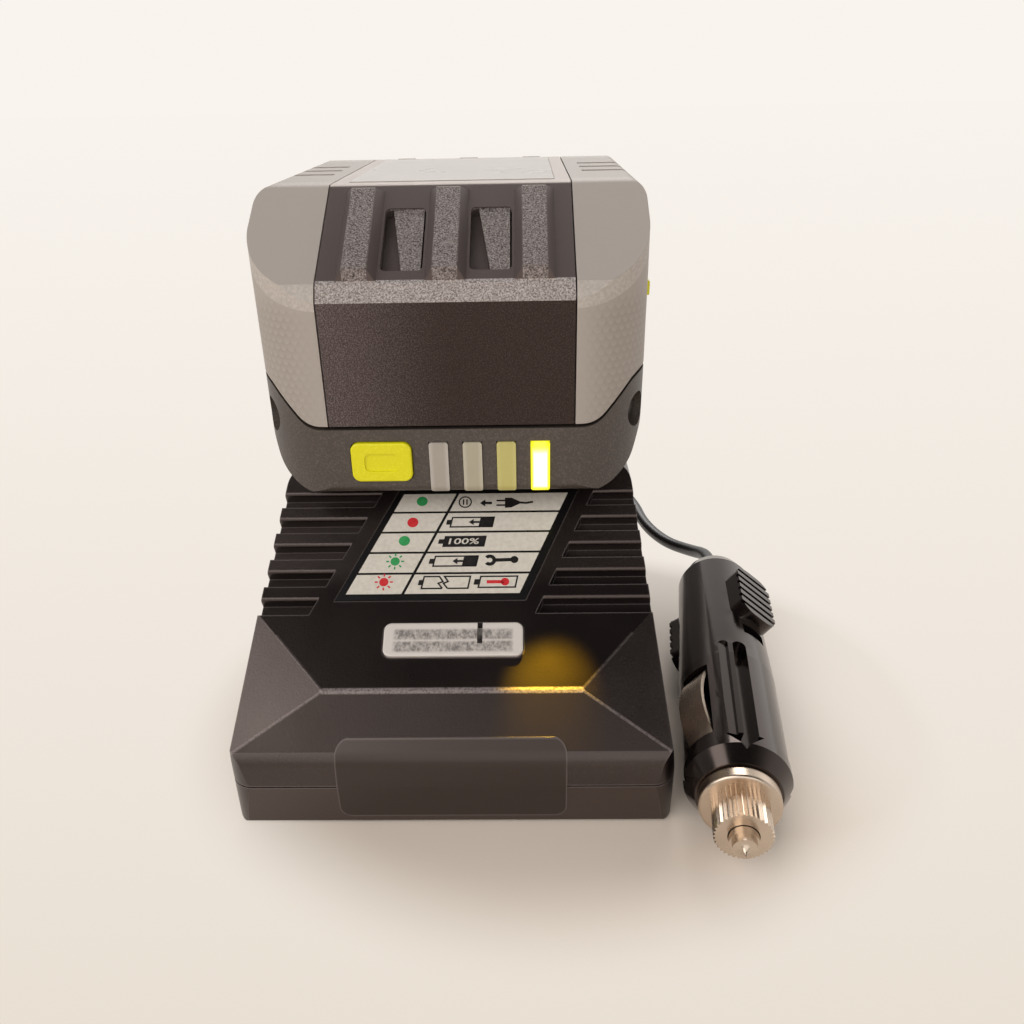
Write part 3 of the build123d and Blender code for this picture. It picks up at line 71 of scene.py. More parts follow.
Outline = np.ndarray
Socket = bpy.types.NodeSocket
Tree = bpy.types.NodeTree

# Places that several classes share, as the solids have them.
DECK_EDGE: Span = (-70.0, 26.0)
DECK_ANGLE = 34.0
PLUG_TIP: Point = (53.6, -99.0, 11.0)
PLUG_TURN = 7.65


class Body(str, Enum):
    """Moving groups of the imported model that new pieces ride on."""

    CHARGER = "charger"
    PLUG_TIP = "plug_tip"


class Reach(str, Enum):
    """Whether a lamp lights its chosen nodes alone, or all but them."""

    ALONE = "INCLUDE"
    ALL_BUT = "EXCLUDE"


def linear(code: str) -> Colour:
    """Linear colour of an sRGB hex value.

    Args:
        code: Colour such as "#a09790".

    Returns:
        Red, green, blue and an alpha of 1, for a colour socket.
    """
    share = np.array([int(code[index:index + 2], 16) / 255 for index in (1, 3, 5)])
    light = np.where(share <= 0.04045, share / 12.92, ((share + 0.055) / 1.055) ** 2.4)
    return (float(light[0]), float(light[1]), float(light[2]), 1.0)


def put(
    tree: Tree,
    kind: str,
    inputs: Mapping[Any, Any] | None = None,
    out: str | None = None,
    **settings: Any,
) -> Socket | None:
    """Add one shader node with its settings, its constant inputs and its links.

    Args:
        tree: Node tree that gets the node.
        kind: Blender's type name of the node, without the ShaderNode it begins with.
        inputs: Socket name or index to a constant, or to an output socket to link.
        out: Name of the wanted output, if it isn't the first that the settings enable.
        settings: Properties of the node itself.

    Returns:
        The wanted output, or None for a node that has none.
    """
    node = tree.nodes.new("ShaderNode" + kind)
    for name, value in settings.items():
        setattr(node, name, value)
    for key, value in (inputs or {}).items():
        if isinstance(value, Socket):
            tree.links.new(value, node.inputs[key])
        else:
            node.inputs[key].default_value = value
    if out:
        return node.outputs[out]
    return next((socket for socket in node.outputs if socket.enabled), None)


@dataclass(frozen=True)
class Finish:
    """What every finish shares: a name and a node tree that ends in one surface shader."""

    name: str

    def shade(self, tree: Tree) -> Socket:
        """Build the nodes of the finish.

        Args:
            tree: Node tree of the material.

        Returns:
            The surface shader.
        """
        raise NotImplementedError

    def material(self) -> bpy.types.Material:
        """Make the material of this finish.

        Returns:
            A material whose tree holds only this finish's nodes.
        """
        made = bpy.data.materials.new(self.name)
        made.use_nodes = True
        made.node_tree.nodes.clear()
        surface = self.shade(made.node_tree)
        put(made.node_tree, "OutputMaterial", {"Surface": surface})
        return made


@dataclass(frozen=True)
class Ridge:
    """A line on a moulding that carries a painted highlight, in millimetres, and how far from it
    the highlight reaches.
    """

    start: Point
    end: Point
    reach: Span
    share: float


@dataclass(frozen=True)
class ShadedFacing:
    """A side of a moulding with a tone and a gloss of its own, painted to set how light or dark it
    shows.

    It is known by the way it faces, up to a height over which it fades out. Its gloss tint and tone
    are painted shade and painted light: a weaker gloss darkens the deck and slope, and a paler tone
    lightens the front.
    """

    normal: Point
    gloss: str
    tone: str
    top: float
    fade: float = 2.0
    agree: Span = (0.9955, 0.9985)


@dataclass(frozen=True)
class MouldedPlastic(Finish):
    """Injection-moulded plastic with a spark-eroded skin.

    The eroded mould leaves a fine pebble that breaks the gloss into soft specks, and the flow of
    the melt leaves a faint cloudiness. The grain is drawn a little coarser than the real 0.2 mm,
    because that would be less than a pixel.
    """

    colour: str
    speck: str
    grain: float = 0.45
    relief: float = 0.25
    roughness: float = 0.5
    level: float = 0.5
    gloss: str = "#ffffff"
    # Colour and most share of the painted highlight along edges and ridges.
    rub: str = "#8d807a"
    painted_highlight_share: float = 0.0
    edge: float = 0.5
    ridges: tuple[Ridge, ...] = ()
    shaded_facings: tuple[ShadedFacing, ...] = ()
    specks: Span = (0.48, 0.72)
    glints: Span = (0.2, 0.55)
    cloud: float = 24.0
    clouds: Span = (0.3, 0.7)
    cloud_gloss: Span = (-0.05, 0.06)
    depth: float = 0.12
    edge_agree: Span = (0.995, 0.93)

    def facing(self, tree: Tree, place: Socket, side: ShadedFacing) -> Socket:
        """Share of a facing: one where the true normal agrees with it, fading out over its top.

        Args:
            tree: Node tree of the material.
            place: Point on the moulding.
            side: The facing.

        Returns:
            Share from zero to one.
        """
        true = put(tree, "NewGeometry", out="Normal")
        agree = put(tree, "VectorMath", {
            0: true, 1: Vector(side.normal).normalized(),
        }, operation="DOT_PRODUCT")
        turned = put(tree, "MapRange", {
            "Value": agree, "From Min": side.agree[0], "From Max": side.agree[1],
        }, interpolation_type="SMOOTHSTEP")
        height = put(tree, "SeparateXYZ", {"Vector": place}, out="Z")
        low = put(tree, "MapRange", {
            "Value": height,
            "From Min": (side.top + side.fade) * MM, "From Max": (side.top - side.fade) * MM,
        }, interpolation_type="SMOOTHSTEP")
        return put(tree, "Math", {0: turned, 1: low}, operation="MULTIPLY")

    def ridge(self, tree: Tree, place: Socket) -> Socket:
        """Share of painted highlight along the ridges, mirrored in x: one on each line, none past
        the reach.

        The distance to a ridge is measured from the nearest point of its line, found by clamping
        the projection on the line between its two ends.

        Args:
            tree: Node tree of the material.
            place: Point on the moulding.

        Returns:
            Share from zero to one.
        """
        axes = put(tree, "SeparateXYZ", {"Vector": place}).node.outputs
        aside = put(tree, "Math", {0: axes["X"]}, operation="ABSOLUTE")
        half = put(tree, "CombineXYZ", {"X": aside, "Y": axes["Y"], "Z": axes["Z"]})
        ridge_highlight: Socket | float = 0.0
        for line in self.ridges:
            run = Vector(line.end) - Vector(line.start)
            away = put(tree, "VectorMath", {
                0: half, 1: Vector(line.start) * MM,
            }, operation="SUBTRACT")
            along = put(tree, "VectorMath", {
                0: away, 1: run.normalized(),
            }, operation="DOT_PRODUCT")
            held = put(tree, "Clamp", {"Value": along, "Min": 0.0, "Max": run.length * MM})
            foot = put(tree, "VectorMath", {0: run.normalized(), "Scale": held}, operation="SCALE")
            gap = put(tree, "VectorMath", {0: away, 1: foot}, operation="DISTANCE")
            painted_highlight_share = put(tree, "MapRange", {
                "Value": gap, "From Min": line.reach[0] * MM, "From Max": line.reach[1] * MM,
                "To Min": 0.0, "To Max": line.share,
            }, interpolation_type="SMOOTHSTEP")
            ridge_highlight = put(tree, "Math", {0: ridge_highlight, 1: painted_highlight_share}, operation="MAXIMUM")
        return ridge_highlight

    def rim(self, tree: Tree) -> Socket:
        """Share of the painted edge highlight: how far a normal rounded over the edge width leaves
        the true one.

        Args:
            tree: Node tree of the material.

        Returns:
            Share from zero to the finish's own most.
        """
        rounded = put(tree, "Bevel", {"Radius": self.edge * MM}, samples=6)
        true = put(tree, "NewGeometry", out="Normal")
        agree = put(tree, "VectorMath", {0: rounded, 1: true}, operation="DOT_PRODUCT")
        return put(tree, "MapRange", {
            "Value": agree, "From Min": self.edge_agree[0], "From Max": self.edge_agree[1],
            "To Min": 0.0, "To Max": self.painted_highlight_share,
        })

    def shade(self, tree: Tree) -> Socket:
        """Grain lifts the colour and the surface, and a slow cloud shifts the gloss.

        Args:
            tree: Node tree of the material.

        Returns:
            The surface shader.
        """
        place = put(tree, "TexCoord", out="Object")
        grain = put(tree, "TexNoise", {
            "Vector": place, "Scale": 1 / (self.grain * MM), "Detail": 2.0, "Roughness": 0.6,
        })
        cloud = put(tree, "TexNoise", {
            "Vector": place, "Scale": 1 / (self.cloud * MM), "Detail": 3.0,
        })
        speck = put(tree, "MapRange", {
            "Value": grain, "From Min": self.specks[0], "From Max": self.specks[1],
        })
        tone = put(tree, "Mix", {
            0: speck, 6: linear(self.colour), 7: linear(self.speck),
        }, data_type="RGBA")
        tint: Socket | Colour = linear(self.gloss)
        # Painted shade and light: each side's own tone and gloss tint.
        for side in self.shaded_facings:
            share = self.facing(tree, place, side)
            tone = put(tree, "Mix", {0: share, 6: tone, 7: linear(side.tone)}, data_type="RGBA")
            tint = put(tree, "Mix", {0: share, 6: tint, 7: linear(side.gloss)}, data_type="RGBA")
        # Painted highlight: edges turn paler where the rounded normal leaves the true one.
        if self.painted_highlight_share:
            tone = put(tree, "Mix", {
                0: self.rim(tree), 6: tone, 7: linear(self.rub),
            }, data_type="RGBA")
        # Painted highlight along the ridges, broken into glints by the grain.
        if self.ridges:
            glint = put(tree, "MapRange", {
                "Value": grain, "From Min": self.glints[0], "From Max": self.glints[1],
            })
            ridge_highlight = put(tree, "Math", {0: self.ridge(tree, place), 1: glint}, operation="MULTIPLY")
            tone = put(tree, "Mix", {0: ridge_highlight, 6: tone, 7: linear(self.rub)}, data_type="RGBA")
        gloss = put(tree, "MapRange", {
            "Value": cloud, "From Min": self.clouds[0], "From Max": self.clouds[1],
            "To Min": self.roughness + self.cloud_gloss[0],
            "To Max": self.roughness + self.cloud_gloss[1],
        })
        bump = put(tree, "Bump", {
            "Height": grain, "Strength": self.relief, "Distance": self.depth * MM,
        })
        return put(tree, "BsdfPrincipled", {
            "Base Color": tone, "Roughness": gloss, "Normal": bump,
            "Specular IOR Level": self.level, "Specular Tint": tint,
        })


@dataclass(frozen=True)
class PackSlope:
    """Slanted shoulders at the front and rear of the battery, as the solids have them."""

    middle_y: float = 18.0
    bottom: float = 56.0
    foot: Span = (57.2, 44.3)
    normal: Span = (0.544, 0.839)

    def measure(self, tree: Tree, axes: Mapping[str, Socket]) -> tuple[Socket, Socket]:
        """Measure a point from the battery's middle and from the slope.

        The height over the slope is the reach times the normal's first part plus z times its
        second part, less the same sum at the slope's foot.

        Args:
            tree: Node tree of the material.
            axes: The point's x, y and z.

        Returns:
            Reach from the middle along y, and height over the slope.
        """
        off_middle = put(tree, "Math", {0: axes["Y"], 1: self.middle_y * MM}, operation="SUBTRACT")
        reach = put(tree, "Math", {0: off_middle}, operation="ABSOLUTE")
        lean = put(tree, "Math", {
            0: reach, 1: self.normal[0], 2: -self.foot[0] * self.normal[0] * MM,
        }, operation="MULTIPLY_ADD")
        climb = put(tree, "Math", {
            0: axes["Z"], 1: self.normal[1],
            2: -(self.bottom + self.foot[1]) * self.normal[1] * MM,
        }, operation="MULTIPLY_ADD")
        over = put(tree, "Math", {0: lean, 1: climb}, operation="ADD")
        return reach, over


@dataclass(frozen=True)
class PackShellPlastic(Finish):
    """Glass-filled nylon of the battery's middle, with a mould skin in three grades.

    Ledge, rib tops and pads carry a coarse etched grain whose sparkle is painted in as pale specks,
    the front panel a medium pebble with a painted sheen that lightens it towards the left, and the
    floor between the ribs a fine one. The flat top is as pale as the plate on it. Both grains are
    drawn coarse enough to show.
    """

    panel_tone: tuple[str, str] = ("#0f0b0a", "#3b3230")
    # Paler tones of the painted sheen on the panel's left.
    panel_sheen: tuple[str, str] = ("#393233", "#786e6e")
    lid_tone: str = "#a79d96"
    lid: float = 59.7
    floor_tone: str = "#4b4342"
    # Ledge and raised tones run from dark grain to pale painted glints.
    ledge_tone: tuple[str, str] = ("#655f5d", "#bbb4b2")
    raised_tone: tuple[str, str] = ("#332d2d", "#99918f")
    rib_pitch: float = 17.6
    rib_half: float = 2.45
    rib_foot: float = 103.0
    ledge: Span = (40.8, 44.7)
    ledge_reach: float = 56.4
    slope: PackSlope = PackSlope()
    rib_tops: Span = (2.05, 2.3)
    pad_top: float = -0.4
    pad_depth: float = 0.2
    floor_lift: float = 0.08
    etch: float = 0.33
    pebble: float = 0.27
    glints: Span = (0.32, 0.72)
    dots: Span = (0.42, 0.8)
    painted_sheen_span: Span = (2.0, -27.0)
    relief: Span = (0.65, 0.15)
    depth: float = 0.14
    roughness: float = 0.44
    tint: str = "#ffdccf"

    def shade(self, tree: Tree) -> Socket:
        """Bands of height above the slope and along the ledge choose the grade of the grain.

        Args:
            tree: Node tree of the material.

        Returns:
            The surface shader.
        """
        place = put(tree, "TexCoord", out="Object")
        axes = put(tree, "SeparateXYZ", {"Vector": place}).node.outputs
        reach, proud = self.slope.measure(tree, axes)
        bottom = self.slope.bottom
        rib_top = put(tree, "MapRange", {
            "Value": proud, "From Min": self.rib_tops[0] * MM, "From Max": self.rib_tops[1] * MM,
        })
        pad_top = put(tree, "Math", {
            0: proud, 1: self.pad_top * MM, 2: self.pad_depth * MM,
        }, operation="COMPARE")
        ledge_middle = bottom + (self.ledge[0] + self.ledge[1]) / 2
        on_height = put(tree, "Math", {
            0: axes["Z"], 1: ledge_middle * MM, 2: (self.ledge[1] - self.ledge[0]) / 2 * MM,
        }, operation="COMPARE")
        on_ledge = put(tree, "Math", {
            0: reach, 1: self.ledge_reach * MM,
        }, operation="GREATER_THAN")
        ledge = put(tree, "Math", {0: on_height, 1: on_ledge}, operation="MULTIPLY")
        to_rib = put(tree, "Math", {
            0: axes["X"], 1: self.rib_pitch / 2 * MM,
        }, operation="PINGPONG")
        on_rib = put(tree, "Math", {0: to_rib, 1: self.rib_half * MM}, operation="LESS_THAN")
        off_floor = put(tree, "Math", {
            0: proud, 1: self.floor_lift * MM,
        }, operation="GREATER_THAN")
        at_foot = put(tree, "Math", {0: axes["Z"], 1: self.rib_foot * MM}, operation="LESS_THAN")
        rib_end = put(tree, "Math", {0: on_rib, 1: off_floor}, operation="MULTIPLY")
        ramp = put(tree, "Math", {0: rib_end, 1: at_foot}, operation="MULTIPLY")
        top = put(tree, "Math", {0: rib_top, 1: pad_top}, operation="MAXIMUM")
        raised = put(tree, "Math", {0: top, 1: ramp}, operation="MAXIMUM")
        on_slope = put(tree, "Math", {
            0: axes["Z"], 1: (bottom + self.ledge[1]) * MM,
        }, operation="GREATER_THAN")
        coarse = put(tree, "Math", {0: raised, 1: ledge}, operation="MAXIMUM")
        etched = put(tree, "TexNoise", {
            "Vector": place, "Scale": 1 / (self.etch * MM), "Detail": 1.0, "Roughness": 0.6,
        })
        pebble = put(tree, "TexNoise", {
            "Vector": place, "Scale": 1 / (self.pebble * MM), "Detail": 1.0,
        })
        # Painted glints: pale specks of the coarse grain on the ledge, rib tops and pads.
        glint = put(tree, "MapRange", {
            "Value": etched, "From Min": self.glints[0], "From Max": self.glints[1],
        })
        dots = put(tree, "MapRange", {
            "Value": pebble, "From Min": self.dots[0], "From Max": self.dots[1],
        })
        dull = put(tree, "Mix", {
            0: dots, 6: linear(self.panel_tone[0]), 7: linear(self.panel_tone[1]),
        }, data_type="RGBA")
        # Painted sheen: the front panel turns paler towards the left, where the light glances off
        # it.
        painted_sheen_tone = put(tree, "Mix", {
            0: dots, 6: linear(self.panel_sheen[0]), 7: linear(self.panel_sheen[1]),
        }, data_type="RGBA")
        painted_sheen_share = put(tree, "MapRange", {
            "Value": axes["X"], "From Min": self.painted_sheen_span[0] * MM,
            "From Max": self.painted_sheen_span[1] * MM,
        }, interpolation_type="SMOOTHSTEP")
        front = put(tree, "Mix", {0: painted_sheen_share, 6: dull, 7: painted_sheen_tone}, data_type="RGBA")
        plain = put(tree, "Mix", {
            0: on_slope, 6: front, 7: linear(self.floor_tone),
        }, data_type="RGBA")
        strip = put(tree, "Mix", {
            0: glint, 6: linear(self.ledge_tone[0]), 7: linear(self.ledge_tone[1]),
        }, data_type="RGBA")
        bar = put(tree, "Mix", {
            0: glint, 6: linear(self.raised_tone[0]), 7: linear(self.raised_tone[1]),
        }, data_type="RGBA")
        upper = put(tree, "Mix", {0: raised, 6: plain, 7: bar}, data_type="RGBA")
        sides = put(tree, "Mix", {0: ledge, 6: upper, 7: strip}, data_type="RGBA")
        on_lid = put(tree, "Math", {
            0: axes["Z"], 1: (bottom + self.lid) * MM,
        }, operation="GREATER_THAN")
        tone = put(tree, "Mix", {0: on_lid, 6: sides, 7: linear(self.lid_tone)}, data_type="RGBA")
        height = put(tree, "Mix", {0: coarse, 2: pebble, 3: etched}, data_type="FLOAT")
        smooth = put(tree, "Math", {0: on_slope, 1: coarse}, operation="SUBTRACT")
        grade = put(tree, "MapRange", {
            "Value": smooth, "To Min": self.relief[0], "To Max": self.relief[1],
        })
        bump = put(tree, "Bump", {
            "Height": height, "Strength": grade, "Distance": self.depth * MM,
        })
        return put(tree, "BsdfPrincipled", {
            "Base Color": tone, "Roughness": self.roughness, "Normal": bump,
            "Specular IOR Level": 0.5, "Specular Tint": linear(self.tint),
        })


@dataclass(frozen=True)
class ScaleGrip(Finish):
    """Overmoulded soft elastomer with a fish-scale grip pattern.

    Rows of overlapping scales wrap round the corner and the side below the ledge. A band under the
    slope is painted paler with sparkling specks, a painted highlight where it catches the light
    from above, and the rubber has a dry matt sheen and is darker in the recesses of the scales.
    """

    colour: str = "#a39a93"
    recess: str = "#8d847c"
    # Paler colour of the painted highlight on the band under the slope.
    band: str = "#bdb4ac"
    scale_width: float = 1.9
    scale_height: float = 1.5
    band_height: float = 3.3
    band_end: float = 0.1
    slope: PackSlope = PackSlope()
    corner: float = 16.0
    corner_x: float = 25.0
    corner_y: float = 43.0
    top: float = 98.5
    fade: float = 5.0
    wrap: Span = (1.0, 9.0)
    lobe: float = -2.6
    dome: float = 3.0
    grain: float = 0.6
    grain_share: float = 0.25
    # Where and how far the scales turn darker in their recesses.
    recess_span: Span = (0.1, 1.0)
    recess_darkening_share: float = 0.5
    band_specks: Span = (0.35, 0.7)
    band_shares: Span = (0.15, 0.75)
    band_fall: float = -5.0
    depth: float = 0.2

    def shade(self, tree: Tree) -> Socket:
        """Arc length round the corner and height span the scales; each is a dome that tips down.

        Args:
            tree: Node tree of the material.

        Returns:
            The surface shader.
        """
        place = put(tree, "TexCoord", out="Object")
        axes = put(tree, "SeparateXYZ", {"Vector": place}).node.outputs
        far_x = put(tree, "Math", {0: axes["X"]}, operation="ABSOLUTE")
        past_x = put(tree, "Math", {0: far_x, 1: self.corner_x * MM}, operation="SUBTRACT")
        far_y, below = self.slope.measure(tree, axes)
        past_y = put(tree, "Math", {0: far_y, 1: self.corner_y * MM}, operation="SUBTRACT")
        side_x = put(tree, "Math", {0: past_x, 1: 0.0}, operation="MAXIMUM")
        side_y = put(tree, "Math", {0: past_y, 1: 1e-6}, operation="MAXIMUM")
        turn = put(tree, "Math", {0: side_x, 1: side_y}, operation="ARCTAN2")
        front = put(tree, "Math", {0: past_x, 1: 0.0}, operation="MINIMUM")
        flank = put(tree, "Math", {0: past_y, 1: 0.0}, operation="MINIMUM")
        ends = put(tree, "Math", {0: front, 1: flank}, operation="SUBTRACT")
        arc = put(tree, "Math", {0: turn, 1: self.corner * MM, 2: ends}, operation="MULTIPLY_ADD")
        across = put(tree, "Math", {0: arc, 1: self.scale_width * MM}, operation="DIVIDE")
        up = put(tree, "Math", {0: axes["Z"], 1: self.scale_height * MM}, operation="DIVIDE")
        row = put(tree, "Math", {0: up}, operation="FLOOR")
        stagger = put(tree, "Math", {0: row, 1: 0.5, 2: across}, operation="MULTIPLY_ADD")
        cell_x = put(tree, "Math", {0: stagger}, operation="FRACT")
        from_axis = put(tree, "Math", {0: cell_x, 1: 0.5}, operation="SUBTRACT")
        bow = put(tree, "Math", {0: from_axis, 1: 2.0}, operation="POWER")
        cell_y = put(tree, "Math", {0: up}, operation="FRACT")
        lobe = put(tree, "Math", {0: bow, 1: self.lobe, 2: cell_y}, operation="MULTIPLY_ADD")
        tip = put(tree, "Math", {0: lobe}, operation="FRACT")
        edge = put(tree, "Math", {0: bow, 1: self.dome, 2: tip}, operation="MULTIPLY_ADD")
        start = put(tree, "MapRange", {
            "Value": axes["Z"], "From Min": (self.top - self.fade) * MM, "From Max": self.top * MM,
            "To Min": 1.0, "To Max": 0.0,
        })
        wrap = put(tree, "MapRange", {
            "Value": arc, "From Min": self.wrap[0] * MM, "From Max": self.wrap[1] * MM,
        })
        zone = put(tree, "Math", {0: start, 1: wrap}, operation="MULTIPLY")
        scales = put(tree, "Math", {0: edge, 1: zone}, operation="MULTIPLY")
        grain = put(tree, "TexNoise", {
            "Vector": place, "Scale": 1 / (self.grain * MM), "Detail": 2.0,
        })
        relief = put(tree, "Math", {
            0: grain, 1: self.grain_share, 2: scales,
        }, operation="MULTIPLY_ADD")
        # Darker in the recesses between the scales.
        recess_darkening = put(tree, "MapRange", {
            "Value": scales, "From Min": self.recess_span[0], "From Max": self.recess_span[1],
            "To Min": 0.0, "To Max": self.recess_darkening_share,
        })
        into_band = put(tree, "MapRange", {
            "Value": below, "From Min": -self.band_height * MM, "From Max": -self.band_end * MM,
        })
        on_band = put(tree, "Math", {
            0: below, 1: -self.band_height / 2 * MM, 2: (self.band_height - self.band_end) / 2 * MM,
        }, operation="COMPARE")
        matt = put(tree, "Mix", {
            0: recess_darkening, 6: linear(self.colour), 7: linear(self.recess),
        }, data_type="RGBA")
        # Painted highlight: the band under the slope is paler, with sparkling specks, where it
        # catches the light from above.
        sparkle = put(tree, "MapRange", {
            "Value": grain, "From Min": self.band_specks[0], "From Max": self.band_specks[1],
            "To Min": self.band_shares[0], "To Max": self.band_shares[1],
        })
        wear_and_highlight = put(tree, "Math", {0: on_band, 1: sparkle}, operation="MULTIPLY")
        tone = put(tree, "Mix", {0: wear_and_highlight, 6: matt, 7: linear(self.band)}, data_type="RGBA")
        fall = put(tree, "Math", {0: on_band, 1: into_band}, operation="MULTIPLY")
        shaped = put(tree, "Math", {
            0: fall, 1: self.band_fall, 2: relief,
        }, operation="MULTIPLY_ADD")
        bump = put(tree, "Bump", {"Height": shaped, "Strength": 0.5, "Distance": self.depth * MM})
        return put(tree, "BsdfPrincipled", {
            "Base Color": tone, "Roughness": 0.55, "Normal": bump, "Specular IOR Level": 0.45,
        })


@dataclass(frozen=True)
class FrostedBar(Finish):
    """Frosted polycarbonate light bar in the deck.

    The etched top scatters the light to a pale grey, and two rows of dark mottling show where the
    bar's ribbed underside lets the deep housing through.
    """

    colour: str = "#d2cac4"
    deep: str = "#7b7471"
    edge: Span = DECK_EDGE
    angle: float = DECK_ANGLE
    foot: float = 7.0
    height: float = 7.3
    rows: Span = (0.28, 0.64)
    row_half: float = 0.2
    inner_half: float = 12.6
    inner_fade: float = 0.9
    stretch: float = 1.6
    mottle: float = 1.1
    mottled: Span = (0.35, 0.62)
    least: float = 0.25
    depth: float = 0.1

    def shade(self, tree: Tree) -> Socket:
        """Share of the way up the bar makes two rows, and noise breaks them into mottling.

        Args:
            tree: Node tree of the material.

        Returns:
            The surface shader.
        """
        lean = math.radians(self.angle)
        place = put(tree, "TexCoord", out="Object")
        along = put(tree, "VectorMath", {
            0: place, 1: (0.0, math.cos(lean), math.sin(lean)),
        }, operation="DOT_PRODUCT")
        start = self.edge[0] * math.cos(lean) + self.edge[1] * math.sin(lean) + self.foot
        share = put(tree, "MapRange", {
            "Value": along, "From Min": start * MM, "From Max": (start + self.height) * MM,
        })
        bands: list[Socket] = []
        for middle in self.rows:
            aside = put(tree, "Math", {0: share, 1: middle}, operation="SUBTRACT")
            off = put(tree, "Math", {0: aside}, operation="ABSOLUTE")
            bands.append(put(tree, "MapRange", {
                "Value": off, "From Min": self.row_half, "From Max": self.row_half / 2,
            }, interpolation_type="SMOOTHSTEP"))
        rows = put(tree, "Math", {0: bands[0], 1: bands[1]}, operation="MAXIMUM")
        across = put(tree, "SeparateXYZ", {"Vector": place}, out="X")
        far = put(tree, "Math", {0: across}, operation="ABSOLUTE")
        inside = put(tree, "MapRange", {
            "Value": far, "From Min": self.inner_half * MM,
            "From Max": (self.inner_half - self.inner_fade) * MM,
        }, interpolation_type="SMOOTHSTEP")
        streaked = put(tree, "Mapping", {"Vector": place, "Scale": (self.stretch, 1.0, 1.0)})
        mottle = put(tree, "TexNoise", {
            "Vector": streaked, "Scale": 1 / (self.mottle * MM), "Detail": 3.0, "Roughness": 0.7,
        })
        patch = put(tree, "MapRange", {
            "Value": mottle, "From Min": self.mottled[0], "From Max": self.mottled[1],
            "To Min": self.least, "To Max": 1.0,
        })
        ribbed = put(tree, "Math", {0: rows, 1: inside}, operation="MULTIPLY")
        dark = put(tree, "Math", {0: ribbed, 1: patch}, operation="MULTIPLY")
        tone = put(tree, "Mix", {
            0: dark, 6: linear(self.colour), 7: linear(self.deep),
        }, data_type="RGBA")
        bump = put(tree, "Bump", {"Height": mottle, "Strength": 0.2, "Distance": self.depth * MM})
        return put(tree, "BsdfPrincipled", {
            "Base Color": tone, "Roughness": 0.3, "Normal": bump, "Specular IOR Level": 0.6,
        })


@dataclass(frozen=True)
class GaugeWindow(Finish):
    """Moulded diffuser of the charge gauge, clear plastic with a milky core.

    Unlit windows are grey with paler rims. A lit one is brightest along its core and turns to the
    lamp's own colour at the rims.
    """

    colour: str
    rim: str
    middle: float
    core: str = "#fffbd8"
    glow: str = "#f6ee22"
    core_light: float = 0.0
    rim_light: float = 0.0
    half: float = 2.0
    lamp_span: Span = (58.2, 63.5)
    lamp_fade: Span = (1.5, 3.5)
    rim_span: Span = (0.45, 0.95)
    milk: float = 2.2
    milk_share: float = 0.4

    def shade(self, tree: Tree) -> Socket:
        """Distance from the window's upright axis and from its ends blends the core into the rim.

        Args:
            tree: Node tree of the material.

        Returns:
            The surface shader.
        """
        place = put(tree, "TexCoord", out="Object")
        axes = put(tree, "SeparateXYZ", {"Vector": place}).node.outputs
        aside = put(tree, "Math", {0: axes["X"], 1: self.middle * MM}, operation="SUBTRACT")
        off_axis = put(tree, "Math", {0: aside}, operation="ABSOLUTE")
        edge = put(tree, "MapRange", {
            "Value": off_axis, "From Min": self.rim_span[0] * self.half * MM,
            "From Max": self.rim_span[1] * self.half * MM,
        }, interpolation_type="SMOOTHSTEP")
        milk = put(tree, "TexNoise", {
            "Vector": place, "Scale": 1 / (self.milk * MM), "Detail": 2.0,
        })
        top = put(tree, "MapRange", {
            "Value": axes["Z"], "From Min": self.lamp_span[1] * MM,
            "From Max": (self.lamp_span[1] + self.lamp_fade[1]) * MM,
        }, interpolation_type="SMOOTHSTEP")
        foot = put(tree, "MapRange", {
            "Value": axes["Z"], "From Min": self.lamp_span[0] * MM,
            "From Max": (self.lamp_span[0] - self.lamp_fade[0]) * MM,
        }, interpolation_type="SMOOTHSTEP")
        ends = put(tree, "Math", {0: top, 1: foot}, operation="MAXIMUM")
        dim = put(tree, "Math", {0: ends, 1: edge}, operation="MAXIMUM")
        blend = put(tree, "Math", {0: milk, 1: self.milk_share, 2: edge}, operation="MULTIPLY_ADD")
        tone = put(tree, "Mix", {
            0: blend, 6: linear(self.colour), 7: linear(self.rim),
        }, data_type="RGBA")
        light = put(tree, "MapRange", {
            "Value": dim, "To Min": self.core_light, "To Max": self.rim_light,
        })
        lamp = put(tree, "Mix", {
            0: dim, 6: linear(self.core), 7: linear(self.glow),
        }, data_type="RGBA")
        return put(tree, "BsdfPrincipled", {
            "Base Color": tone, "Roughness": 0.28, "Emission Color": lamp,
            "Emission Strength": light, "Specular IOR Level": 0.5,
        })


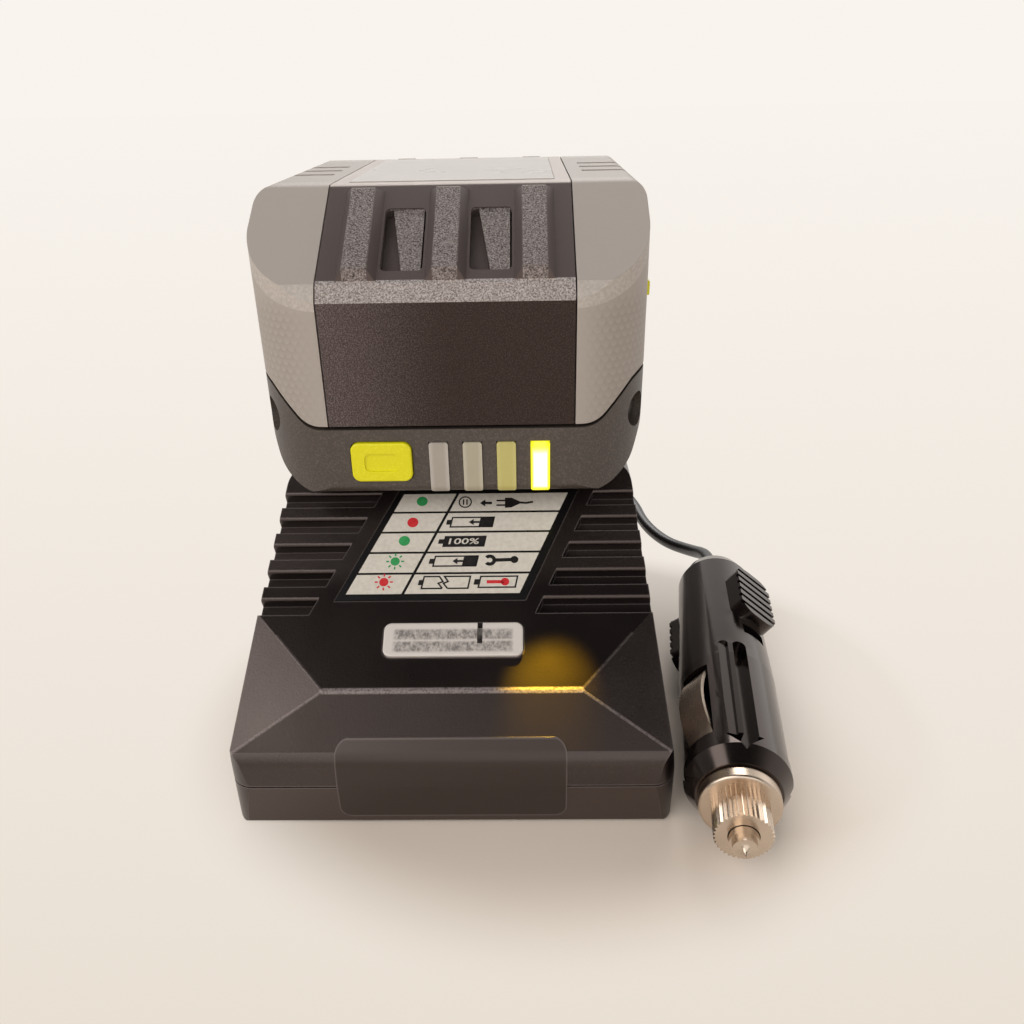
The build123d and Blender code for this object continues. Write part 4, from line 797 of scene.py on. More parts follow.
@dataclass(frozen=True)
class PlatedMetal(Finish):
    """Turned or stamped metal with a bright nickel plate.

    The plate mirrors the studio with a warm cast, and fine turning lines and handling haze
    soften it.
    """

    colour: str
    roughness: float = 0.22
    line: float = 0.35
    stretch: float = 5.0
    cloud: float = 4.0
    haze: Span = (0.86, 1.08)
    haze_gloss: Span = (-0.07, 0.09)
    depth: float = 0.05

    def shade(self, tree: Tree) -> Socket:
        """Stretched noise gives turning lines, and a slow cloud the haze.

        Args:
            tree: Node tree of the material.

        Returns:
            The surface shader.
        """
        place = put(tree, "TexCoord", out="Object")
        drawn = put(tree, "Mapping", {"Vector": place, "Scale": (1.0, self.stretch, 1.0)})
        lines = put(tree, "TexNoise", {
            "Vector": drawn, "Scale": 1 / (self.line * self.stretch * MM), "Detail": 3.0,
        })
        cloud = put(tree, "TexNoise", {
            "Vector": place, "Scale": 1 / (self.cloud * MM), "Detail": 2.0,
        })
        tone = put(tree, "HueSaturation", {
            "Color": linear(self.colour),
            "Value": put(tree, "MapRange", {
                "Value": cloud, "To Min": self.haze[0], "To Max": self.haze[1],
            }),
        })
        gloss = put(tree, "MapRange", {
            "Value": cloud, "To Min": self.roughness + self.haze_gloss[0],
            "To Max": self.roughness + self.haze_gloss[1],
        })
        bump = put(tree, "Bump", {"Height": lines, "Strength": 0.12, "Distance": self.depth * MM})
        return put(tree, "BsdfPrincipled", {
            "Base Color": tone, "Metallic": 1.0, "Roughness": gloss, "Normal": bump,
        })


@dataclass(frozen=True)
class ClearFilm(Finish):
    """Clear polyester film stuck across the front seam.

    Wetted out by its glue it shows the tone of the black plastic below and hides the seam, so
    only its pale cut edge tells it apart.
    """

    # Paler than the black plastic's own colour: the same painted light as the housing's front.
    colour: str = "#231c1a"
    rim_colour: str = "#6f6663"
    edge: float = 0.6
    half: Span = (22.8, 8.7)
    middle: float = 10.9
    corner: float = 2.5
    line: float = 0.35
    glue: float = 6.0
    gloss: Span = (0.27, 0.35)
    tint: str = "#dccac2"

    def shade(self, tree: Tree) -> Socket:
        """Distance from the rounded outline gives the cut edge; clouds of glue vary the gloss.

        Args:
            tree: Node tree of the material.

        Returns:
            The surface shader.
        """
        place = put(tree, "TexCoord", out="Object")
        low = put(tree, "VectorMath", {
            0: place, 1: (0.0, 0.0, self.middle * MM),
        }, operation="SUBTRACT")
        mirror = put(tree, "VectorMath", {0: low}, operation="ABSOLUTE")
        flat = put(tree, "VectorMath", {0: mirror, 1: (1.0, 0.0, 1.0)}, operation="MULTIPLY")
        past = put(tree, "VectorMath", {
            0: flat,
            1: ((self.half[0] - self.corner) * MM, 0.0, (self.half[1] - self.corner) * MM),
        }, operation="SUBTRACT")
        outer = put(tree, "VectorMath", {0: past, 1: (0.0, 0.0, 0.0)}, operation="MAXIMUM")
        reach = put(tree, "VectorMath", {0: outer}, operation="LENGTH")
        rim = put(tree, "MapRange", {
            "Value": reach, "From Min": (self.corner - self.line) * MM,
            "From Max": self.corner * MM,
            "To Min": 0.0, "To Max": self.edge,
        })
        glue = put(tree, "TexNoise", {
            "Vector": place, "Scale": 1 / (self.glue * MM), "Detail": 2.0,
        })
        gloss = put(tree, "MapRange", {
            "Value": glue, "To Min": self.gloss[0], "To Max": self.gloss[1],
        })
        tone = put(tree, "Mix", {
            0: rim, 6: linear(self.colour), 7: linear(self.rim_colour),
        }, data_type="RGBA")
        return put(tree, "BsdfPrincipled", {
            "Base Color": tone, "Roughness": gloss, "Specular IOR Level": 0.85,
            "Specular Tint": linear(self.tint),
        })


@dataclass(frozen=True)
class PrintInk(Finish):
    """Screen-printed ink on a polyester label.

    Flat and slightly uneven where the mesh laid it down, with a satin film over it.
    """

    colour: str
    thin: str
    mesh: float = 0.9
    thinned: Span = (0.4, 0.75)

    def shade(self, tree: Tree) -> Socket:
        """Mesh-sized noise thins the ink, and the film keeps a low gloss.

        Args:
            tree: Node tree of the material.

        Returns:
            The surface shader.
        """
        place = put(tree, "TexCoord", out="Object")
        laid = put(tree, "TexNoise", {
            "Vector": place, "Scale": 1 / (self.mesh * MM), "Detail": 2.0,
        })
        share = put(tree, "MapRange", {
            "Value": laid, "From Min": self.thinned[0], "From Max": self.thinned[1],
        })
        tone = put(tree, "Mix", {
            0: share, 6: linear(self.colour), 7: linear(self.thin),
        }, data_type="RGBA")
        return put(tree, "BsdfPrincipled", {
            "Base Color": tone, "Roughness": 0.42, "Specular IOR Level": 0.4,
        })


@dataclass(frozen=True)
class FlexVinyl(Finish):
    """Extruded soft vinyl or rubber with a waxy satin skin and faint rub marks."""

    colour: str
    wear_and_highlight: str
    roughness: float = 0.42
    mark: float = 3.0
    marks: Span = (0.5, 0.8)
    depth: float = 0.1

    def shade(self, tree: Tree) -> Socket:
        """Scattered pale rub marks over a satin black, with a slight ripple of the extrusion.

        Args:
            tree: Node tree of the material.

        Returns:
            The surface shader.
        """
        place = put(tree, "TexCoord", out="Object")
        rub = put(tree, "TexNoise", {
            "Vector": place, "Scale": 1 / (self.mark * MM), "Detail": 4.0, "Roughness": 0.7,
        })
        wear_and_highlight = put(tree, "MapRange", {
            "Value": rub, "From Min": self.marks[0], "From Max": self.marks[1],
        })
        tone = put(tree, "Mix", {
            0: wear_and_highlight, 6: linear(self.colour), 7: linear(self.wear_and_highlight),
        }, data_type="RGBA")
        bump = put(tree, "Bump", {"Height": rub, "Strength": 0.1, "Distance": self.depth * MM})
        return put(tree, "BsdfPrincipled", {
            "Base Color": tone, "Roughness": self.roughness, "Normal": bump,
        })


class Finishes:
    """Every finish of the charger, and which solid takes which."""

    housing = MouldedPlastic(
        "abs_moulded_black", "#110d0d", "#211b1a", 0.42, 0.22, 0.31, 0.85, "#ffe8e0",
        # Pale painted highlight along the housing's edges.
        rub="#8b8180", painted_highlight_share=0.35, edge=0.45,
        # Ridges that carry a painted highlight.
        ridges=(
            Ridge((0.0, -70.0, 26.0), (26.0, -70.0, 26.0), (0.78, 0.4), 0.8),
            Ridge((26.0, -70.0, 26.0), (44.0, -78.8, 17.1), (0.4, 0.15), 0.42),
            Ridge((26.0, -70.0, 26.0), (36.8, -60.1, 32.65), (0.4, 0.15), 0.16),
        ),
        # Painted shade on the deck and slope, painted light on the front.
        shaded_facings=(
            ShadedFacing((0.0, -0.559, 0.829), "#ab9b94", "#110d0d", 40.0),
            ShadedFacing((0.0, -0.711, 0.703), "#b8a7a0", "#15100f", 30.0),
            ShadedFacing((0.0, -1.0, 0.0), "#ffe8e0", "#2d2522", 20.0),
        ),
    )
    label_base = MouldedPlastic("polyester_label_black", "#0a0809", "#141112", 0.6, 0.08, 0.3)
    feet = FlexVinyl("rubber_moulded_feet", "#1a1817", "#332f2d", 0.7)
    film = ClearFilm("polyester_film_clear")
    bar = FrostedBar("polycarbonate_frosted_bar")
    shell = PackShellPlastic("nylon_etched_black")
    grip = ScaleGrip("elastomer_scale_grip")
    cover = MouldedPlastic("nylon_moulded_charcoal", "#453d38", "#5c524c", 0.42, 0.3, 0.42)
    panel = MouldedPlastic("nylon_moulded_panel", "#171314", "#2b2626", 0.45, 0.3, 0.45)
    lime = MouldedPlastic("nylon_moulded_lime", "#e0d806", "#e6df20", 0.6, 0.06, 0.35)
    plate = MouldedPlastic("polyester_plate_bare", "#a79d96", "#afa69f", 0.7, 0.05, 0.3)
    windows = (
        GaugeWindow("acrylic_window_1", "#9f978d", "#b4ada5", -2.95),
        GaugeWindow("acrylic_window_2", "#a79f8a", "#b9b29f", 4.15),
        GaugeWindow("acrylic_window_3", "#bdb36c", "#c4bb78", 11.25),
        GaugeWindow("acrylic_window_4", "#d8cf60", "#d8c800", 18.35, core_light=3.0, rim_light=0.8),
    )
    plug = MouldedPlastic(
        "phenolic_polished_black", "#0a0808", "#110e0d", 0.9, 0.015, 0.15, 0.8, "#ffe6dc",
    )
    nickel = PlatedMetal("brass_nickel_plated", "#c9b7a5", 0.26)
    spring = PlatedMetal("spring_steel_drawn", "#b9b4ad", 0.3)
    steel = PlatedMetal("screw_steel_zinc", "#a7a29c", 0.32)
    aluminium = PlatedMetal("aluminium_extruded", "#bfc0c2", 0.38)
    copper = PlatedMetal("copper_enamelled_winding", "#9a5a35", 0.35)
    cord = FlexVinyl("vinyl_extruded_black", "#121011", "#262322", 0.32)
    tie = FlexVinyl("nylon_tie_black", "#161415", "#2b2827", 0.5)
    board = MouldedPlastic("laminate_solder_mask_green", "#1d4a2c", "#2a6140", 0.8, 0.05, 0.35)
    dark = MouldedPlastic("epoxy_moulded_dark", "#262424", "#343131", 0.6, 0.12, 0.5)
    can = PlatedMetal("aluminium_can_drawn", "#a9abad", 0.3)
    wrap = MouldedPlastic("cell_wrap_blue", "#2b4d7a", "#355c8d", 0.9, 0.04, 0.3)
    holder = MouldedPlastic("polypropylene_holder_white", "#d6d2c9", "#dedad2", 0.7, 0.06, 0.5)
    fuse = MouldedPlastic("glass_fuse_pale", "#c9cfcf", "#dfe4e4", 1.2, 0.03, 0.12)
    red = GaugeWindow("led_epoxy_red", "#a4231c", "#c2463c", -4.6)
    green = GaugeWindow("led_epoxy_green", "#2c8a3e", "#55b066", 10.4)

    @classmethod
    def by_node(cls) -> dict[str, Finish]:
        """Finish of each solid that stays in view.

        Returns:
            Node name to finish.
        """
        table: dict[str, Finish] = {
            "base_housing": cls.housing, "upper_housing": cls.housing, "rubber_feet": cls.feet,
            "housing_screws": cls.steel, "front_film": cls.film,
            "instruction_label": cls.label_base, "light_pipe": cls.bar,
            "circuit_board": cls.board, "lamp_charging": cls.red, "lamp_ready": cls.green,
            "transformer": cls.dark, "choke": cls.copper, "capacitors": cls.can,
            "heat_sink": cls.aluminium, "battery_socket": cls.housing, "socket_blades": cls.nickel,
            "strain_relief": cls.tie, "cord_tie": cls.tie, "plug_shell_upper": cls.plug,
            "plug_shell_lower": cls.plug, "plug_crown": cls.plug, "plug_ring": cls.nickel,
            "plug_cap": cls.nickel, "plug_spring": cls.spring, "plug_boot": cls.cord,
            "plug_pin": cls.nickel, "plug_fuse": cls.fuse, "pack_shell": cls.shell,
            "pack_cover": cls.cover, "pack_screws": cls.steel, "rating_plate": cls.plate,
            "gauge_button": cls.lime, "gauge_board": cls.board, "gauge_switch": cls.dark,
            "gauge_lamps": cls.windows[3], "cells": cls.wrap, "pack_board": cls.board,
            "stem_carrier": cls.holder, "stem_clips": cls.nickel,
        }
        for side in ("left", "right"):
            table[f"grip_{side}"] = cls.grip
            table[f"side_panel_{side}"] = cls.panel
            table[f"accent_{side}"] = cls.lime
            table[f"latch_{side}"] = cls.panel
            table[f"contact_{side}"] = cls.nickel
            table[f"cell_holder_{side}"] = cls.holder
            table[f"cell_straps_{side}"] = cls.nickel
        for index, window in enumerate(cls.windows):
            table[f"gauge_lens_{index + 1}"] = window
        return table


class Painter:
    """Gives objects their materials, making each material once."""

    def __init__(self) -> None:
        """Start with no material made."""
        self.made: dict[str, bpy.types.Material] = {}

    def dress(self, piece: bpy.types.Object, finish: Finish) -> None:
        """Put a finish on all of a piece.

        Args:
            piece: Solid or new piece to dress.
            finish: Its finish.
        """
        if finish.name not in self.made:
            self.made[finish.name] = finish.material()
        if not piece.material_slots:
            piece.data.materials.append(self.made[finish.name])
        for slot in piece.material_slots:
            slot.material = self.made[finish.name]
        LOG.info("dressed %s in %s", piece.name, finish.name)


@dataclass(frozen=True)
class DeckFrame:
    """Sloping deck of the charger as a local frame: across, up the slope and outward."""

    edge: Span = DECK_EDGE
    angle: float = DECK_ANGLE

    def place(self, points: np.ndarray) -> np.ndarray:
        """Carry deck points into the shared frame.

        Up the slope adds its cosine to y and its sine to z; outward adds minus the sine to y and
        the cosine to z.

        Args:
            points: Rows of across, up the slope and outward, in millimetres.

        Returns:
            Rows of x, y and z in metres.
        """
        lean = math.radians(self.angle)
        across, along, out = points.T
        depth = self.edge[0] + along * math.cos(lean) - out * math.sin(lean)
        height = self.edge[1] + along * math.sin(lean) + out * math.cos(lean)
        return np.column_stack((across, depth, height)) * MM


def circle(middle: Sequence[float], radius: float, count: int = 28) -> Outline:
    """Points round a circle: the middle plus the radius times cosine and sine of even angles.

    Args:
        middle: Across and up the slope, in millimetres.
        radius: Radius in millimetres.
        count: Number of points.

    Returns:
        Rows of across and up the slope, counted anticlockwise.
    """
    angle = np.linspace(0, 2 * np.pi, count, endpoint=False)
    return np.asarray(middle) + radius * np.column_stack((np.cos(angle), np.sin(angle)))


def sector(
    middle: Sequence[float], inner: float, outer: float, start: float, end: float, count: int = 22,
) -> Outline:
    """Outline of an open ring: out along the larger arc and back along the smaller one.

    Args:
        middle: Across and up the slope, in millimetres.
        inner: Radius of the smaller arc.
        outer: Radius of the larger arc.
        start: First angle in degrees.
        end: Last angle in degrees.
        count: Number of points on each arc.

    Returns:
        Rows of across and up the slope, counted anticlockwise.
    """
    angle = np.radians(np.linspace(start, end, count))
    ray = np.column_stack((np.cos(angle), np.sin(angle)))
    return np.asarray(middle) + np.concatenate((outer * ray, inner * ray[::-1]))


def block(left: float, low: float, right: float, high: float, slant: float = 0.0) -> Outline:
    """Four corners of a block whose upper edge is shifted across by slant times its height.

    Args:
        left: Left end of the lower edge.
        low: Lower edge.
        right: Right end of the lower edge.
        high: Upper edge.
        slant: Shift across for each unit up the slope.

    Returns:
        Rows of across and up the slope, counted anticlockwise.
    """
    shift = slant * (high - low)
    return np.array(((left, low), (right, low), (right + shift, high), (left + shift, high)))


def ribbon(path: Sequence[Sequence[float]], width: float) -> Outline:
    """Outline of a stroke: the path moved half a width to each side along its mitred normals.

    Args:
        path: Points of the stroke's middle line.
        width: Width of the stroke.

    Returns:
        Rows of across and up the slope, counted anticlockwise.
    """
    line = np.asarray(path, dtype=float)
    run = np.diff(line, axis=0)
    run /= np.linalg.norm(run, axis=1, keepdims=True)
    before = np.concatenate((run[:1], run))
    after = np.concatenate((run, run[-1:]))
    mean = before + after
    mean /= np.linalg.norm(mean, axis=1, keepdims=True)
    reach = width / 2 / np.sum(mean * before, axis=1, keepdims=True)
    aside = np.column_stack((-mean[:, 1], mean[:, 0])) * reach
    return np.concatenate((line - aside, (line + aside)[::-1]))


@dataclass
class PrintLayer:
    """Flat shapes of one ink, each a closed thin prism on the deck."""

    name: str
    finish: Finish
    low: float
    high: float
    deck: DeckFrame = field(default_factory=DeckFrame)
    points: list[np.ndarray] = field(default_factory=list)
    faces: list[list[int]] = field(default_factory=list)
    count: int = 0

    def fill(self, outline: Outline) -> None:
        """Add a filled shape: the outline at both heights, joined by a wall of quads.

        Args:
            outline: Rows of across and up the slope, anticlockwise.
        """
        size = len(outline)
        lower = np.column_stack((outline, np.full(size, self.low)))
        upper = np.column_stack((outline, np.full(size, self.high)))
        step = np.arange(size)
        ahead = np.roll(step, -1)
        wall = np.column_stack((step, ahead, ahead + size, step + size)) + self.count
        self.faces.append((step[::-1] + self.count).tolist())
        self.faces.append((step + size + self.count).tolist())
        self.faces.extend(wall.tolist())
        self.points.extend((lower, upper))
        self.count += 2 * size

    def frame(self, outer: Outline, inner: Outline) -> None:
        """Add a closed band between two outlines with the same number of points.

        Args:
            outer: Larger outline, anticlockwise.
            inner: Smaller outline, anticlockwise.
        """
        size = len(outer)
        rings = [
            np.column_stack((outline, np.full(size, level)))
            for outline, level in (
                (outer, self.low), (outer, self.high), (inner, self.high), (inner, self.low),
            )
        ]
        step = np.arange(size)
        ahead = np.roll(step, -1)
        for ring in range(4):
            here = ring * size + self.count
            there = (ring + 1) % 4 * size + self.count
            quads = np.column_stack((step + here, ahead + here, ahead + there, step + there))
            self.faces.extend(quads.tolist())
        self.points.extend(rings)
        self.count += 4 * size

    def mesh(self, painter: Painter) -> bpy.types.Object:
        """Turn the collected prisms into one piece on the charger.

        Args:
            painter: Gives the piece its finish.

        Returns:
            The new piece.
        """
        data = bpy.data.meshes.new(self.name)
        data.from_pydata(self.deck.place(np.concatenate(self.points)).tolist(), [], self.faces)
        data.update()
        piece = bpy.data.objects.new(self.name, data)
        bpy.context.collection.objects.link(piece)
        painter.dress(piece, self.finish)
        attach(piece, Body.CHARGER.value)
        LOG.info("printed %s with %d points", self.name, self.count)
        return piece


@dataclass
class InstructionLabel:
    """Pictogram table on the deck: five rows of a lamp state and what it means."""

    first_row: float = 21.1
    row_pitch: float = 5.02
    row_gap: float = 0.5
    rows: int = 5
    slant: float = 0.445
    icon_slant: float = 0.2
    left_column: Span = (-23.2, -11.4)
    right_column: Span = (-10.75, 13.7)
    line: float = 0.34
    lamp_radius: float = 1.22
    flash_radius: float = 1.0
    ray: Span = (1.3, 1.95)
    ray_turn: float = 45.0
    nub_share: float = 0.22
    head_length: float = 1.1
    head_half: float = 0.75
    shaft_half: float = 0.24
    figure_corner: Span = (-1.7, 32.85)
    figure_size: Span = (6.6, 1.45)
    figure_levels: Span = (0.205, 0.225)
    full_middle: float = 33.5

    def slanted(self, outline: Outline, middle: float) -> Outline:
        """Lean a pictogram: across grows by the slant times the height above its middle."""
        lean = np.array((self.icon_slant, 0.0))
        return outline + (outline[:, 1:] - middle) * lean

    def cells(self, paper: PrintLayer) -> None:
        """Lay the white cells of the table.

        Args:
            paper: Layer of white ink.
        """
        for row in range(self.rows):
            low = self.first_row + row * self.row_pitch
            high = low + self.row_pitch - self.row_gap
            shift = self.slant * (low - self.first_row)
            for left, right in (self.left_column, self.right_column):
                paper.fill(block(left + shift, low, right + shift, high, self.slant))

    def lamp(self, ink: PrintLayer, middle: Sequence[float], flashing: bool) -> None:
        """Draw a lamp: a dot, with eight rays round it when it flashes.

        Args:
            ink: Layer of the lamp's colour.
            middle: Across and up the slope.
            flashing: Whether the lamp has rays.
        """
        ink.fill(circle(middle, self.flash_radius if flashing else self.lamp_radius))
        if not flashing:
            return
        for angle in np.radians(np.arange(0, 360, self.ray_turn)):
            ray = np.array((math.cos(angle), math.sin(angle)))
            ink.fill(ribbon([np.asarray(middle) + reach * ray for reach in self.ray], self.line))

    def cell(
        self, ink: PrintLayer, nub: float, left: float, right: float, low: float, high: float,
    ) -> None:
        """Draw the outline of a battery with its nub on the left.

        Args:
            ink: Layer of black ink.
            nub: Left end of the nub.
            left: Left end of the case.
            right: Right end of the case.
            low: Lower edge.
            high: Upper edge.
        """
        middle = (low + high) / 2
        outer = self.slanted(block(left, low, right, high), middle)
        line = self.line
        inner = self.slanted(block(left + line, low + line, right - line, high - line), middle)
        ink.frame(outer, inner)
        tall = (high - low) * self.nub_share
        ink.fill(self.slanted(block(nub, middle - tall, left, middle + tall), middle))

    def charging(
        self, ink: PrintLayer, start: float, right: float, tip: float, low: float, high: float,
    ) -> None:
        """Draw the charged part of a battery and the arrow that grows from it.

        Args:
            ink: Layer of black ink.
            start: Left end of the charged part.
            right: Right end of the charged part.
            tip: Point of the arrow.
            low: Lower edge.
            high: Upper edge.
        """
        middle = (low + high) / 2
        ink.fill(self.slanted(block(start, low, right, high), middle))
        neck = tip + self.head_length
        ink.fill(np.array((
            (tip, middle), (neck, middle - self.head_half), (neck, middle - self.shaft_half),
            (start, middle - self.shaft_half), (start, middle + self.shaft_half),
            (neck, middle + self.shaft_half), (neck, middle + self.head_half),
        )))

    def plug_row(self, ink: PrintLayer) -> None:
        """Draw the top row: a pause sign, an arrow and a mains plug.

        Args:
            ink: Layer of black ink.
        """
        ring = (1.6, 43.5)
        ink.frame(circle(ring, 1.5), circle(ring, 1.2))
        for middle in (ring[0] - 0.38, ring[0] + 0.38):
            ink.fill(block(middle - 0.16, ring[1] - 0.7, middle + 0.16, ring[1] + 0.7))
        ink.fill(np.array((
            (4.9, 43.2), (6.1, 42.3), (6.1, 42.9), (7.6, 42.9), (7.6, 43.5), (6.1, 43.5),
            (6.1, 44.1),
        )))
        for level in (42.6, 43.8):
            ink.fill(block(8.6, level - 0.2, 10.6, level + 0.2))
        ink.fill(np.array((
            (10.5, 41.9), (12.0, 42.0), (13.3, 42.7), (13.9, 43.0), (13.9, 43.5), (13.3, 43.8),
            (12.0, 44.5), (10.5, 44.5),
        )))
        ink.fill(ribbon(((13.8, 43.25), (15.2, 43.1), (16.8, 43.4)), 0.5))

    def wrench(self, ink: PrintLayer) -> None:
        """Draw a spanner: an open jaw, a shaft and a round end.

        Args:
            ink: Layer of black ink.
        """
        ink.fill(sector((7.3, 28.9), 0.55, 1.35, -140, 140))
        ink.fill(ribbon(((8.4, 28.9), (12.4, 29.0)), 0.8))
        ink.fill(circle((12.6, 29.0), 0.85))

    def broken_cell(self, ink: PrintLayer) -> None:
        """Draw a battery outline split by a zigzag.

        Args:
            ink: Layer of black ink.
        """
        crack = np.array(((-2.2, 22.3), (-3.1, 23.5), (-2.1, 23.9), (-2.9, 25.1)))
        for shift, end in ((-0.55, -7.2), (0.55, 2.7)):
            edge = crack + np.array((shift, 0.0))
            path = np.concatenate((edge[:1], ((end, 22.3), (end + 0.5, 25.1)), edge[::-1]))
            ink.fill(ribbon(path, self.line))
        ink.fill(block(-8.0, 23.1, -7.1, 24.3, self.icon_slant))

    def percent(self, paper: PrintLayer, painter: Painter) -> bpy.types.Object:
        """Set the full-charge figure in white on the black battery of the third row.

        The letters become a mesh first; across is then their x scaled to the battery's width and
        leant, up the slope their y, and outward their thickness.

        Args:
            paper: Layer of white ink, for its finish and its deck.
            painter: Gives the piece its finish.

        Returns:
            The new piece.
        """
        text = bpy.data.curves.new("full_charge", "FONT")
        text.body = "100%"
        text.extrude = 0.5
        text.resolution_u = 3
        text.offset = 0.012
        holder = bpy.data.objects.new("full_charge", text)
        bpy.context.collection.objects.link(holder)
        graph = bpy.context.evaluated_depsgraph_get()
        data = bpy.data.meshes.new_from_object(holder.evaluated_get(graph))
        bpy.data.objects.remove(holder)
        flat = np.empty(3 * len(data.vertices))
        data.vertices.foreach_get("co", flat)
        flat = flat.reshape(-1, 3)
        low, high = flat.min(axis=0), flat.max(axis=0)
        share = (flat - low) / (high - low)
        up = self.figure_corner[1] + self.figure_size[1] * share[:, 1]
        lean = self.icon_slant * (up - self.full_middle)
        across = self.figure_corner[0] + self.figure_size[0] * share[:, 0] + lean
        out = self.figure_levels[0] + np.ptp(self.figure_levels) * share[:, 2]
        placed = paper.deck.place(np.column_stack((across, up, out)))
        data.vertices.foreach_set("co", placed.ravel())
        data.update()
        data.name = "label_figure"
        piece = bpy.data.objects.new("label_figure", data)
        bpy.context.collection.objects.link(piece)
        painter.dress(piece, paper.finish)
        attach(piece, Body.CHARGER.value)
        return piece

    def build(self, painter: Painter) -> list[bpy.types.Object]:
        """Print the whole label in four inks.

        Args:
            painter: Gives each ink its finish.

        Returns:
            The printed pieces.
        """
        paper, black, green, red = (
            PrintLayer(f"label_{name}", PrintInk(f"ink_printed_{name}", full, thin), low, high)
            for name, full, thin, low, high in (
                ("white", "#d3ccc1", "#c8c0b5", 0.15, 0.175),
                ("black", "#141112", "#221e1e", 0.17, 0.205),
                ("green", "#2f8f4e", "#3a9c5a", 0.17, 0.2),
                ("red", "#c5242c", "#cf3a3c", 0.17, 0.2),
            )
        )
        self.cells(paper)
        for ink, middle, flashing in (
            (green, (-8.1, 43.8), False), (red, (-9.9, 38.4), False),
            (green, (-11.5, 33.8), False), (green, (-13.2, 28.8), True),
            (red, (-15.3, 23.9), True),
        ):
            self.lamp(ink, middle, flashing)
        self.plug_row(black)
        self.cell(black, -2.4, -1.5, 8.1, 37.0, 39.7)
        self.charging(black, 4.9, 7.9, 2.5, 37.2, 39.5)
        for corners in ((-2.9, 32.2, 6.3, 34.9), (-4.0, 33.0, -2.8, 34.1)):
            black.fill(self.slanted(block(*corners), self.full_middle))
        self.cell(black, -5.8, -4.9, 4.7, 27.4, 30.1)
        self.charging(black, 1.5, 4.5, -0.8, 27.6, 29.9)
        self.wrench(black)
        self.broken_cell(black)
        self.cell(black, 4.0, 5.0, 13.2, 22.3, 25.2)
        red.fill(ribbon(((6.7, 23.75), (10.4, 23.75)), 0.75))
        red.fill(circle((10.6, 23.75), 0.9))
        layers = [layer.mesh(painter) for layer in (paper, black, green, red)]
        return layers + [self.percent(paper, painter)]


@dataclass
class TipSpring:
    """Coil spring behind the plug's fuse, which shortens as the tip is pressed."""

    plug_tip: Point = PLUG_TIP
    plug_turn: float = PLUG_TURN
    rear: float = 45.1
    front: float = 34.8
    radius: float = 2.7
    wire: float = 0.8
    turns: int = 6
    steps: int = 24
    sides: int = 10

    def build(self, painter: Painter) -> bpy.types.Object:
        """Wind the wire as a closed tube between the plug and its tip.

        The middle of the wire goes round the plug's axis at an even angle while it moves forward
        evenly. At each step a ring of points stands across the wire: one direction of the ring
        points away from the axis, the other is square to it and to the wire.

        Args:
            painter: Gives the spring its finish.

        Returns:
            The spring.
        """
        lean = math.radians(self.plug_turn)
        ahead = np.array((-math.sin(lean), -math.cos(lean), 0.0))
        aside = np.array((math.cos(lean), -math.sin(lean), 0.0))
        up = np.array((0.0, 0.0, 1.0))
        tip = np.array(self.plug_tip)
        share = np.linspace(0, 1, self.turns * self.steps + 1)[:, None]
        angle = 2 * np.pi * self.turns * share
        outward = aside * np.cos(angle) + up * np.sin(angle)
        onward = up * np.cos(angle) - aside * np.sin(angle)
        rise = self.rear - self.front
        middle = tip - ahead * (self.rear - rise * share) + self.radius * outward
        run = 2 * np.pi * self.turns * self.radius * onward + rise * ahead
        run /= np.linalg.norm(run, axis=1, keepdims=True)
        across = np.cross(run, outward)
        ring = np.linspace(0, 2 * np.pi, self.sides, endpoint=False)[None, :, None]
        skin = middle[:, None] + self.wire / 2 * (
            np.cos(ring) * outward[:, None] + np.sin(ring) * across[:, None]
        )
        number = np.arange(skin.shape[0] * self.sides).reshape(-1, self.sides)
        after = np.roll(number, -1, axis=1)
        quads = np.stack((number[:-1], after[:-1], after[1:], number[1:]), axis=-1).reshape(-1, 4)
        ends = [number[0, ::-1].tolist(), number[-1].tolist()]
        data = bpy.data.meshes.new("tip_spring")
        data.from_pydata((skin.reshape(-1, 3) * MM).tolist(), [], quads.tolist() + ends)
        data.polygons.foreach_set("use_smooth", np.arange(len(data.polygons)) < len(quads))
        piece = bpy.data.objects.new("tip_spring", data)
        bpy.context.collection.objects.link(piece)
        painter.dress(piece, Finishes.spring)
        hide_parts("plug_spring")
        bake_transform(piece)
        return piece


